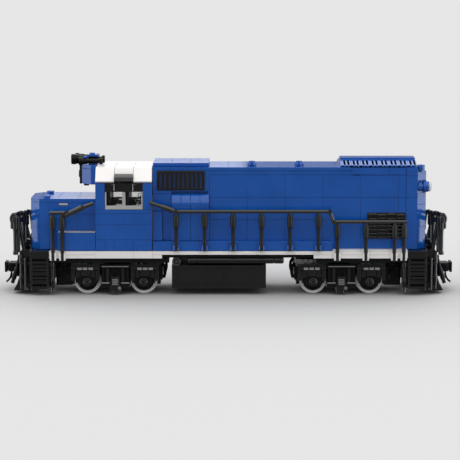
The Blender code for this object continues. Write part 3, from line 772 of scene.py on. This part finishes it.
def marker(side, word):
    s = Shape()
    barrel = [(0, 0), (3.6, 0), (4.0, 0.5), (4.0, 3.2), (2.6, 3.6), (2.6, 4.4), (4.3, 4.7), (4.6, 5.4),
              (4.6, 8.6), (3.9, 9.3), (3.3, 9.3), (3.3, 8.6), (0, 8.6)]
    s.turned((160.6, side * 20, 92), ALONG, barrel, 32)
    s.make(f"marker_barrel_{word}", BLUE, bevel=0.12, replaces=[f"marker_light_{word}"])
    lens = Shape()
    dish = [(0, 0.2), (3.4, 0.2), (4.2, 0.5), (4.3, 1.4), (3.5, 2.2), (1.8, 2.7), (0, 2.8)]
    lens.turned((169.4, side * 20, 92), ALONG, dish, 32)
    lens.make(f"marker_lens_{word}", LENS, bevel=0)


def build_hatch():
    """The raised radiator hatch: ribbed side slopes, a ridge of tiles and a sloped front end."""
    s = Shape()
    base, lip, shoulder, ridge = 108.9, 110.4, 113.8, 115.3
    start, ramp, end = 96, 94.2, 159.2
    rib = [(8, base), (24, base), (24, lip), (8, shoulder)]
    eave = [(22.6, base), (24, base), (24, lip), (22.6, lip + 0.3)]
    spine = [(8, base), (9.4, base), (9.4, shoulder - 0.3), (8, shoulder)]
    for tile in range(8):
        x0 = start + tile * STUD
        x1 = min(x0 + STUD, end)
        for side in (-1, 1):
            for a, b in ((0.06, 1.5), (3.25, 4.75), (6.5, 7.94)):
                s.strip(side, rib, x0 + a, min(x0 + b, x1))
            for outline in (eave, spine):
                s.strip(side, outline, x0 + 0.06, x1 - 0.06)
    for x0 in (96, 112, 128, 144):
        s.box(x0 + SEAM, min(x0 + 16, end) - SEAM, -8, 8, base, ridge)
    for side in (-1, 1):
        corners = [(x, y, base) for x in (ramp, start) for y in (24, 8)]
        corners += [(94.7, 24, lip), (start, 24, lip), (95.4, 8, shoulder), (start, 8, shoulder)]
        s.hull([(x, side * y, z) for x, y, z in corners])
    nose = [(ramp, base), (95.6, ridge), (start, base), (start, ridge)]
    s.hull([(x, y, z) for x, z in nose for y in (-8, 8)])
    s.make("radiator_tiles", BLUE, bevel=0.14, replaces=["radiator_hatch"])
    # Painted shade: a dark sheet inside the slots stands in for the shade deep in them.
    g = Shape()
    floor = [(9.3, base + 0.1), (22.5, base + 0.1), (22.5, base + 0.4), (9.7, base + 0.4)]
    wall = floor + [(9.7, shoulder - 0.8), (9.3, shoulder - 0.8)]
    for side in (-1, 1):
        g.strip(side, wall, 96.2, 158.8)
    g.make("radiator_slot_painted_shade", SHADED_BLACK, bevel=0)


def post(s, x, side, foot, head):
    """A handrail post turned from one bar: a shank, and a thicker grip under its head."""
    profile = [(1.6, -14.8), (1.9, -14.2), (2.4, -13.0), (2.55, -12.0), (2.55, -4.4), (2.4, -3.6),
               (1.8, -3.2), (1.5, -2.8), (1.5, 0), (0, 0)]
    outline = [(0, foot), (1.6, foot)] + [(radius, head + z) for radius, z in profile]
    s.turned((x, side * RAIL_Y, 0), UP, outline, 20)


def build_handrails(side, word):
    y = side * RAIL_Y
    s = Shape()
    for x in HIGH_POSTS:
        post(s, x, side, 39.5, 72.5)
    for x in LOW_POSTS:
        post(s, x, side, 30.2, 63.8)
    s.make(f"rail_posts_{word}", BAR, bevel=0.12)
    s = Shape()
    rail = [(-66.2, 80.2), (-44, 72.5), (85.4, 72.5), (88.6, 63.8), (150.3, 63.8)]
    for (xa, za), (xb, zb) in zip(rail, rail[1:]):
        s.rod((xa, y, za), (xb, y, zb), RAIL_RADIUS, sides=20)
    for x, z in rail[1:-1]:
        s.turned((x, y - 1.75, z), (0, 1, 0), disc(1.9, 3.5), 20)
    s.rod((-56, y, 76.66), (-46.5, y, 73.37), 2.3, sides=20)
    s.make(f"rail_main_{word}", ROD, bevel=0.12, replaces=[f"handrail_{word}"])
    n = Shape()
    for x in NOSE_POSTS:
        post(n, x, side, 30.2, 71.3)
    n.make(f"rail_nose_posts_{word}", BAR, bevel=0.12)
    n = Shape()
    n.rod((-150.2, y, 71.3), (-134, y, 71.3), RAIL_RADIUS, sides=20)
    n.rod((-136.6, y, 69.6), (-122.5, y, 76.1), 2.35, sides=20)
    n.rod((-123.5, y, 75.6), (-113.0, y, 79.6), RAIL_RADIUS, sides=20)
    n.turned((-135.8, y - 2.1, 70.4), (0, 1, 0), disc(2.9, 4.2), 20)
    n.turned((-123, y - 1.9, 75.8), (0, 1, 0), disc(2.2, 3.8), 20)
    n.make(f"rail_nose_{word}", ROD, bevel=0.12, replaces=[f"handrail_nose_{word}"])


# ---------------------------------------------------------------- ends


def build_end(end, word):
    """One end of the deck: the platform, the step wells and the pilot plough."""
    s = Shape()
    block = blocks(s, end=end)
    for z0, z1 in ((32.05, 35.15), (35.25, 38.35)):
        block(152, 168 - SEAM, -31.7, -SEAM, z0, z1)
        block(152, 168 - SEAM, SEAM, 31.7, z0, z1)
        block(168 + SEAM, 176, -24, 24, z0, z1)
    block(152.4, 167.6, -12, 12, 24.2, 32.1)
    for y in (-12, 12):
        s.stud(end * 172, y, DECK)
    for side in (-1, 1):
        steps(s, end, side)

    def wedge(side, y0, y1, low, low_x, high, high_x):
        """A block from the platform's edge outwards, whose front slopes between two levels."""
        front = ((168.3, low), (low_x, low), (168.3, high), (high_x, high))
        s.hull([(end * x, side * y, z) for x, z in front for y in (y0, y1)])

    wedge(1, -22.8, 22.8, 3.0, 183.4, 8.6, 180.4)
    for side in (-1, 1):
        for y0, y1 in ((12.8, 17.0), (17.3, 20.9), (21.2, 22.8)):
            wedge(side, y0, y1, 8.8, 180.2, 31.0, 173.6)
    s.make(f"platform_{word}", BLACK, bevel=0.2, replaces=[f"end_platform_{word}"])
    build_plugs(end, word)
    build_end_rail(end, word)
    build_coupler(end, word)


def steps(s, end, side):
    """One step well: ribbed back, stringers, treads and the bars either side of it."""
    block = blocks(s, end=end, side=side)

    def upright(x, y, foot, outline):
        s.turned((end * x, side * y, foot), UP, outline, 20)

    block(152.4, 167.6, 24.4, 26, 5.6, 32.2)
    block(147.2, 152.6, 24.4, 26, 5.6, 31.6)
    block(147.4, 149.6, 25.8, 27.0, 14.0, 30.0)
    for x in (152.4, 166.1):
        block(x, x + 1.5, 25.6, 31.4, 5.6, 32.2)
    lowest = 7.2
    for tread in (lowest, 15.4, 22.4, 28.8):
        block(153, 167.4, 25.6, 31.7, tread - 1.4, tread)
        block(153.4, 167.0, 30.9, 31.8, tread - 0.1, tread + 0.6)
        if tread > lowest:
            block(153.2, 167.2, 28.6, 30.8, tread - 5.4, tread - 2.2)
        for i in range(5):
            x = 154.6 + i * 2.7
            block(x, x + 1.2, 26.0, 30.8, tread, tread + 0.4)
    grip = [(0, 2.4), (1.5, 2.4), (1.5, 9.0), (2.1, 9.8), (2.2, 14.6), (1.5, 15.4), (1.5, 24.0), (2.1, 24.6),
            (2.1, 30.2), (1.5, 31.4)]
    upright(149.2, 28.6, 0, grip + [(0, 31.6)])
    for z0, z1 in ((25.8, 28.0), (7.0, 9.0)):
        block(147.9, 153, 27.7, 29.5, z0, z1)
    upright(176, 24.2, 2.4, grip + [(1.5, 35.0), (0, 35.0)])
    upright(172, 26.4, 4, disc(1.5, 28))
    block(167.5, 176, 24.6, 26.6, 26, 28)
    block(167.5, 172.5, 25.0, 27.0, 8, 10)


def build_plugs(end, word):
    """Hose stubs standing on the platform and the brake hoses hanging beside the coupler."""
    h = Shape()
    coil = [(0, 0), (2.4, 0), (2.4, 1.5), (1.8, 1.8), (1.8, 2.2), (2.5, 2.6), (2.5, 4.0), (1.8, 4.3),
            (1.8, 4.8)]
    tall = coil + [(2.5, 5.2), (2.5, 6.6), (1.6, 7.0), (1.6, 8.4), (0, 8.4)]
    for side in (-1, 1):

        def at(x, z):
            return (end * x, side * 17.2, z)

        h.turned((end * 173.4, side * 15, DECK), (-end * 0.35, 0, 1), tall, 20)
        h.turned((end * 173.2, side * 19.6, DECK), (-end * 0.2, 0, 1), coil + [(0, 4.8)], 20)
        hose = ((175.5, 33.5), (178.2, 31.5), (179.8, 26), (181.4, 19), (183.2, 13.5), (184.4, 9.8))
        h.tube([at(x, z) for x, z in hose], 1.25)
        h.rod(at(180.6, 21.5), at(183.8, 12.2), 2.1)
        h.rod(at(183.2, 13.8), at(184.9, 8.6), 1.6)
        h.rod(at(173.9, 32.5), at(179.4, 30.4), 2.2)
    h.make(f"end_hoses_{word}", SHADED_BLACK, bevel=0)


def build_end_rail(end, word):
    """The end handrail: uprights either side and links looped along the top, sagging on the right."""
    r = Shape()
    for side, lift in ((-1, 1.6), (1, -3.4)):

        def at(x, y, z, hang=1.0):
            return (end * x, side * y, z + lift * hang)

        top = 65.0 + lift
        outer = [(0, 34.5), (2.3, 34.5), (2.3, 37.0), (1.8, 37.6), (1.8, top - 12), (2.2, top - 11),
                 (2.2, top - 0.6), (1.6, top + 0.8), (0, top + 0.8)]
        drop = [(0, top - 10), (1.2, top - 10), (1.4, top - 9), (1.4, top), (0, top)]
        r.turned((end * 180.5, side * 25.8, 0), UP, outer, 20)
        r.turned((end * 183.2, side * 25.2, 0), UP, drop, 16)
        r.rod(at(177.9, 25.6, 36.6, 0), at(178.2, 24.6, 66.0), 1.5, sides=20)
        r.rod(at(173.6, 22.4, 36.2, 0), at(178.9, 21.0, 65.8), 1.7, sides=20)
        r.rod(at(175.2, 10.5, 38.4, 0), at(175.2, 10.5, 67.0, 0.6), 1.4, sides=20)
        clamp = [(0, 57), (2.1, 57), (2.3, 58), (2.3, 65), (0, 66)]
        r.turned((end * 175.2, side * 10.5, lift * 0.6), UP, clamp, 20)
        r.tube([at(183.4, 26.4, 61.0), at(183.6, 26.4, 64.6), at(182.2, 25.8, 67.2),
                at(180.2, 24.4, 66.8), at(178.8, 22.6, 64.2), at(178.2, 21.0, 61.6)], 1.35)
        r.tube([at(181.8, 27.2, 60.4), at(182.0, 27.2, 63.6), at(180.8, 26.8, 65.4),
                at(179.0, 25.6, 64.8), at(177.6, 24.4, 62.0), at(177.2, 23.6, 58.8)], 1.15)
        r.tube([at(181.2, 24.4, 67.0), at(179.0, 21, 67.6), at(176.8, 17, 67.0), at(175.2, 13.6, 66.8, 0.8),
                at(173.6, 9.2, 67.4, 0.6), at(171.8, 4.6, 68.0, 0.3), at(170.8, 0, 68.4, 0)], 1.3)
        sleeve = [(0, 0), (1.7, 0), (1.95, 0.5), (1.95, 1.9), (0, 2.3)]
        for place in ((178.0, 18.2, 67.2, 1), (175.9, 14.0, 67.0, 0.9), (173.8, 8.6, 67.3, 0.6),
                      (171.9, 3.6, 68.0, 0.3)):
            r.turned(at(*place), (0, side, 0), sleeve, 18)
        r.rod(at(178.6, 18.0, 62.0), at(175.2, 10.5, 61.0, 0.6), 2.1)
        r.rod(at(181.0, 24.8, 62.6), at(178.2, 18.4, 63.0), 2.1)
    middle = ((170.9, 68.2), (169.9, 62), (169.4, 57), (169.3, 52.6))
    r.tube([(end * x, 0, z) for x, z in middle], 1.2)
    r.make(f"end_rail_{word}", BLACK, bevel=0, replaces=[f"end_railing_{word}"])


def build_coupler(end, word):
    c = Shape()
    block = blocks(c, end=end)
    c.turned((end * 160, 0, 17), UP, ring(2.55, 5.5, 6.5), 28)
    block(164.5, 182, -3.5, 3.5, 17.4, 23.2)
    block(180, 189.4, -6.4, 6.4, 16.6, 24.0)
    block(190.6, 192.8, -5.8, 5.8, 16.0, 24.7)
    c.rod((end * 189.2, 0, 20.4), (end * 190.8, 0, 20.4), 4.0, sides=24)
    for side in (-1, 1):
        c.rod((end * 186.2, side * 5.8, 20.6), (end * 186.2, side * 7.0, 20.6), 2.3, sides=20)
        block(180.5, 183.4, *pair(side, 6.2, 6.8), 17.4, 23.4)
    lever = ((187.6, 17.2), (187.8, 13.8), (188.7, 10.6), (190.4, 8.2), (192.3, 6.6))
    c.tube([(end * x, 0, z) for x, z in lever], 0.9)
    replaced = [f"coupler_{word}"]
    c.make(f"coupler_block_{word}", SHADED_BLACK, bevel=0.25, replaces=replaced, body=f"coupler_{word}_swing")
    keep(f"coupler_pin_{word}", DARK)
    keep(f"kingpin_{word}", DARK)


# ---------------------------------------------------------------- trucks


def build_truck(end, word):
    body = f"truck_{word}"
    cx = end * TRUCK_X
    s = Shape()
    block = blocks(s, cx)
    for z0, z1 in ((17.7, 21.8), (22.0, 25.2)):
        block(-10.9, 10.9, -24.4, 24.4, z0, z1)
    s.turned((cx, 0, 24), UP, ring(3.4, 8.5, 3.2), 28)
    for sign in (-1, 1):
        for near, far, z0, z1 in ((27.4, 38, 7.2, 24), (11.1, 20.6, 7.2, 24), (20.4, 27.6, 15.4, 23.8)):
            block(*pair(sign, near, far), -14.8, 14.8, z0, z1)
        block(*pair(sign, 36, 40), -22, 22, 12.2, 23.8)
        for y in (-14, 14):
            hose = ((39, 25.5), (41.5, 22), (41.8, 17), (40.6, 12.5))
            s.tube([(cx + sign * x, y, z) for x, z in hose], 1.3)
    block(*pair(end, 37.6, 51.8), -12.8, 12.8, 6.0, 21.8)
    for y in (-9.5, 0, 9.5):
        block(*pair(end, 40.4, 50.6), y - 1.4, y + 1.4, 21.4, 23.6)
    c = Shape()
    for side in (-1, 1):
        block(-11.3, 11.3, *pair(side, 7, 14.8), 7.2, 17.6)
        s.rod((cx + end * 44, side * 12.4, 15), (cx + end * 44, side * 14.2, 15), 3.4, sides=24)
        s.rod((cx + end * 49.6, side * 13.4, 9.0), (cx + end * 45.6, side * 13.4, 20.5), 0.9, sides=12)
        truck_side(s, c, cx, side)
    c.make(f"truck_castings_{word}", BLACK, bevel=0.16, body=body)
    s.make(f"truck_sides_{word}", SHADED_BLACK, bevel=0.16, replaces=[f"truck_frame_{word}"], body=body)
    truck_details(cx, word, body)
    for place, x in (("outer", cx + end * AXLE_OFFSET), ("inner", cx - end * AXLE_OFFSET)):
        keep(f"axle_{word}_{place}", METAL, 0)
        for side, side_word in SIDES:
            build_wheel(x, side, f"{word}_{place}_{side_word}", f"wheelset_{word}_{place}")


def truck_side(s, c, cx, side):
    """One side of a truck: axle boxes, levers and brake gear, as a back in s and castings in c."""
    back = blocks(s, cx, side=side)
    front = blocks(c, cx, side=side)
    outward = (0, side, 0)
    back(-37, 37, 24.2, 27.8, 23.2, 26.3)
    for offset in (-AXLE_OFFSET, AXLE_OFFSET):
        middle = offset * 1.05
        back(middle - 12, middle + 12, 24.2, 28.6, 14.2, 23.0)
        front(middle - 3.8, middle + 3.8, 28.2, 30.3, 16.6, 21.4)
        for sign in (-1, 1):
            for near, far, face, low in ((4.6, 8.0, 29.6, 15.4), (8.8, 11.8, 30.4, 12.6)):
                x0, x1 = pair(sign, near, far)
                front(middle + x0, middle + x1, 28.2, face, low, 21.4)
        front(middle - 11.8, middle + 11.8, 28.2, 30.2, 21.8, 25.0)
        front(middle - 11.8, middle + 11.8, 28.0, 29.6, 25.3, 26.6)
        back(offset - 6.4, offset + 6.4, 24.2, 28.2, 8.2, 14.4)
        for x in (offset - 9.6, offset + 6.2):
            back(x, x + 3.4, 25.0, 28.0, 10.4, 14.4)
        cap = [(0, 0), (3.7, 0), (3.7, 0.8), (3.3, 1.4), (2.7, 1.6), (2.4, 1.2), (2.2, 1.2), (2.0, 2.2),
               (1.7, 2.4), (1.4, 2.2), (1.3, 0.4), (0, 0.4)]
        c.turned((cx + offset, side * 28.2, AXLE_Z), outward, cap, 32)
        for x in (-9.0, 9.0):
            c.turned((cx + offset + x, side * 28.8, 16.2), outward, disc(1.6, 1.8), 16)
        for x in (-6.4, -1.8):
            c.turned((cx + offset + x, side * 27.2, 26.0), UP, disc(1.5, 1.8), 16)
    for x in (-11.6, 9.4):
        back(x, x + 2.2, 24.8, 27.6, 9.8, 23.4)
    for x in (-7.6, 5.4):
        front(x, x + 2.2, 25.2, 28.6, 10.4, 23.0)
    back(-12.4, 12.4, 25.6, 28.2, 6.6, 11.2)
    back(-12.0, 12.0, 24.2, 25.0, 11.0, 23.4)
    s.turned((cx, side * 25.0, 17.6), outward, ring(2.0, 3.6, 2.6), 28)
    front(-3.6, 3.6, 25.4, 28.6, 7.6, 16.0)
    front(-4.6, 4.6, 26.0, 29.6, 4.0, 8.4)
    for x in (-4.2, 1.8):
        front(x, x + 2.4, 27.0, 30.0, 2.2, 6.2)


def truck_details(cx, word, body):
    """The paler small parts of a truck: springs, box lids and brake rods. The top rod's pale grey is partly
    its own colour and partly a painted highlight.
    """
    d = Shape()
    slope = [(29.0, 22.0), (31.2, 22.0), (31.2, 22.5), (29.6, 24.8), (29.0, 24.8)]
    for side in (-1, 1):
        for i in range(4):
            z = 9.0 + i * 1.35
            d.box(cx - 2.5, cx + 2.5, *pair(side, 27, 30.6 - 0.15 * i), z, z + 0.95)
        for offset in (-AXLE_OFFSET, AXLE_OFFSET):
            for x in (-6.6, -1.9, 2.9):
                x0 = cx + offset * 1.06 + x
                d.strip(side, slope, x0, x0 + 3.8)
        # The rod over the springs is pale grey partly as its own colour and partly as a painted highlight
        # along its top.
        d.rod((cx - 11.4, side * 28.7, 24.6), (cx + 11.4, side * 28.7, 24.6), 0.5)
        for x in (-12.0, 5.0):
            d.rod((cx + x, side * 28.6, 10.4), (cx + x + 7.0, side * 28.6, 10.4), 0.6)
        button = [(0, 0), (1.2, 0), (1.4, 0.3), (1.2, 0.6), (0, 0.6)]
        d.turned((cx + 3.6, side * 29.6, 6.2), (0, side, 0), button, 20)
    d.make(f"truck_springs_{word}", STONE, bevel=0.12, body=body)


def build_wheel(x, side, label, spin):
    rim = Shape()
    centre = (x, 0, AXLE_Z)
    outward = (0, side, 0)
    outline = [(8.5, 17.6), (10.9, 17.3), (11.4, 17.5), (11.45, 18.6), (11.0, 19.1), (10.9, 22.7),
               (10.6, 23.05), (8.8, 23.05), (8.5, 22.7)]
    rim.turned(centre, outward, outline, 64)
    rim.make(f"wheel_rim_{label}", TREAD, bevel=0, replaces=[f"wheel_{label}"], body=spin)
    web = Shape()
    hub = [(2.5, 17.8), (8.55, 17.8), (8.55, 20.6), (4.4, 20.6), (4.1, 22.6), (2.5, 22.6)]
    web.turned(centre, outward, hub, 40)
    for step in range(6):
        angle = math.radians(60 * step)
        run, rise = math.cos(angle), math.sin(angle)
        root, tip = [(x + reach * run, side * 20.8, AXLE_Z + reach * rise) for reach in (3.4, 8.2)]
        web.rod(root, tip, 1.1, 0.8, sides=10)
    web.make(f"wheel_web_{label}", SHADED_BLACK, bevel=0.1, body=spin)


def build_tank():
    s = Shape()
    s.box(-47.2, 31.2, -27.2, 27.2, 6.2, 25.0)
    halves, thirds = [-48, -8, 32], [-48, -24, 8, 32]
    for side in (-1, 1):
        s.panels(side, 28.0, [(9.6, 22.4, halves), (5.6, 9.6, thirds), (22.4, 25.6, thirds)])
    s.tiles(25.6, [-48, -16, 32], [-27.9, 0, 27.9])
    for x in (-48.0, 31.0):
        s.box(x, x + 1.0, -27.4, 27.4, 6.5, 25.5)
    s.box(-43.9, 27.9, -15.9, 15.9, 25, 31.6)
    for side in (-1, 1):
        s.rod((-44, side * 14, 28.9), (-44, side * 27, 28.9), 2.4, sides=20)
    s.make("fuel_tank_bricks", BLACK, replaces=["fuel_tank"])
    bowl = [(2.3, 0), (3.7, 0), (3.7, 3.0), (3.3, 3.6), (2.7, 3.6), (2.3, 3.0)]
    cap = [(0, 0), (2.4, 0), (2.4, 1.2), (1.3, 1.4), (1.1, 3.0), (0, 3.2)]
    tank = [(0, 0), (1.8, 0), (2.5, 0.5), (2.8, 1.4), (2.8, 7.4), (2.3, 7.7), (2.3, 8.1), (2.8, 8.4),
            (2.8, 72.6), (2.3, 72.9), (2.3, 73.3), (2.8, 73.6), (2.8, 80.1), (2.5, 81.0), (1.8, 81.5),
            (0, 81.5)]
    for side, word in SIDES:
        b = Shape()
        for outline, count in ((bowl, 28), (cap, 24)):
            b.turned((-44, side * 26.3, 28.9), (0, side, 0), outline, count)
        b.make(f"filter_bowl_{word}", DARK, bevel=0.1)
        a = Shape()
        a.turned((-34.5, side * 28, 29.9), ALONG, tank, 28)
        for x in (-28, 8, 40):
            a.box(x - 1.5, x + 1.5, *pair(side, 26.6, 29.4), 31.5, 34.9)
        a.make(f"air_tank_body_{word}", BLACK, bevel=0.1, replaces=[f"air_tank_{word}"])
    keep("underframe", SHADED_BLACK, 0.2)


# ---------------------------------------------------------------- studio


def build_floor():
    """The grey table, with a contact shadow painted into its colour where the locomotive hides it from the
    sky. The plastic doesn't reflect it.
    """
    mesh = bpy.data.meshes.new("floor")
    half = 40.0
    corners = ((-half, -half), (half, -half), (half, half), (-half, half))
    mesh.from_pydata([(x, y, 0) for x, y in corners], [], [(0, 1, 2, 3)])
    mat, tree, shader = paint("floor_painted_shadow")
    # Painted shadow: ambient occlusion darkens the floor's colour near the locomotive.
    open_sky = node(tree, "ShaderNodeAmbientOcclusion", Distance=0.3)
    shade = node(tree, "ShaderNodeMix", data_type="RGBA")
    for socket, level in ((FIRST, 0.31), (SECOND, 0.56)):
        shade.inputs[socket].default_value = (level, level, level, 1)
    link(tree, open_sky, "AO", shade, FACTOR)
    link(tree, shade, RESULT, shader, "Base Color")
    shader.inputs["Roughness"].default_value = 0.6
    shader.inputs["Specular IOR Level"].default_value = 0.0
    mesh.materials.append(mat)
    floor = add("floor", mesh)
    floor.visible_glossy = False
    floor.visible_diffuse = False


def build_sky():
    """A sky lit from above and a little more from behind. The camera sees plain pale paper in its place."""
    world = bpy.data.worlds.new("studio")
    bpy.context.scene.world = world
    world.use_nodes = True
    tree = world.node_tree
    background = tree.nodes["Background"]
    split = node(tree, "ShaderNodeSeparateXYZ")
    ramp = node(tree, "ShaderNodeValToRGB")
    link(tree, node(tree, "ShaderNodeTexCoord"), "Generated", split, "Vector")
    link(tree, remap(tree, split, "Z", -1.0, 1.0), "Result", ramp, "Fac")
    link(tree, remap(tree, split, "Y", -1.0, 1.0, 1.2, 1.4), "Result", background, "Strength")
    stops = ((0.495, 0.26), (0.51, 0.18), (0.60, 0.19), (0.68, 1.14), (1.0, 1.2))
    elements = ramp.color_ramp.elements
    while len(elements) < len(stops):
        elements.new(0.5)
    for element, (position, level) in zip(elements, stops):
        element.position = position
        element.color = (level, level, level, 1)
    link(tree, ramp, "Color", background, "Color")
    paper = node(tree, "ShaderNodeBackground")
    paper.inputs["Color"].default_value = (0.8, 0.8, 0.8, 1)
    choose = node(tree, "ShaderNodeMixShader")
    link(tree, node(tree, "ShaderNodeLightPath"), "Is Camera Ray", choose, 0)
    link(tree, background, 0, choose, 1)
    link(tree, paper, 0, choose, 2)
    link(tree, choose, 0, tree.nodes["World Output"], "Surface")


def build_lights():
    """Panels that only the glossy plastic reflects, so that the ends and edges catch the light."""
    panels = (
        ("side_panel_left", (-0.62, -0.2, 0.05), (0, -90, 0), 0.8, 1.0, 1.7),
        ("side_panel_right", (0.62, -0.2, 0.05), (0, 90, 0), 0.8, 1.0, 2.6),
        ("back_panel", (-0.17, 2.0, 0.62), (-90, 0, 0), 0.4, 0.6, 1.02),
    )
    for name, place, turn, width, height, radiance in panels:
        light = bpy.data.lights.new(name, "AREA")
        light.shape = "RECTANGLE"
        light.size = width
        light.size_y = height
        light.energy = radiance * math.pi * width * height
        light.color = (0.96, 1.0, 1.1)
        lamp = add(name, light)
        lamp.location = place
        lamp.rotation_euler = [math.radians(angle) for angle in turn]
        lamp.visible_camera = False
        lamp.visible_diffuse = False


def build_camera():
    camera = bpy.data.cameras.new("camera")
    camera.lens = 131.5
    camera.sensor_width = 36.0
    view = add("camera", camera)
    view.location = (0.0014, -1.434, 0.263)
    view.rotation_euler = (math.radians(81.62), 0, 0)
    bpy.context.scene.camera = view
    bpy.context.scene.view_settings.view_transform = "Standard"


for side, word in SIDES:
    build_sill(side, word)
    build_skirt(side, word)
    build_handrails(side, word)
build_nose()
build_cab()
build_roof()
build_headlight()
build_horn()
build_filter()
build_long_hood()
build_hatch()
build_tank()
for end, word in ENDS:
    build_end(end, word)
    build_truck(end, word)
build_floor()
build_sky()
build_lights()
build_camera()
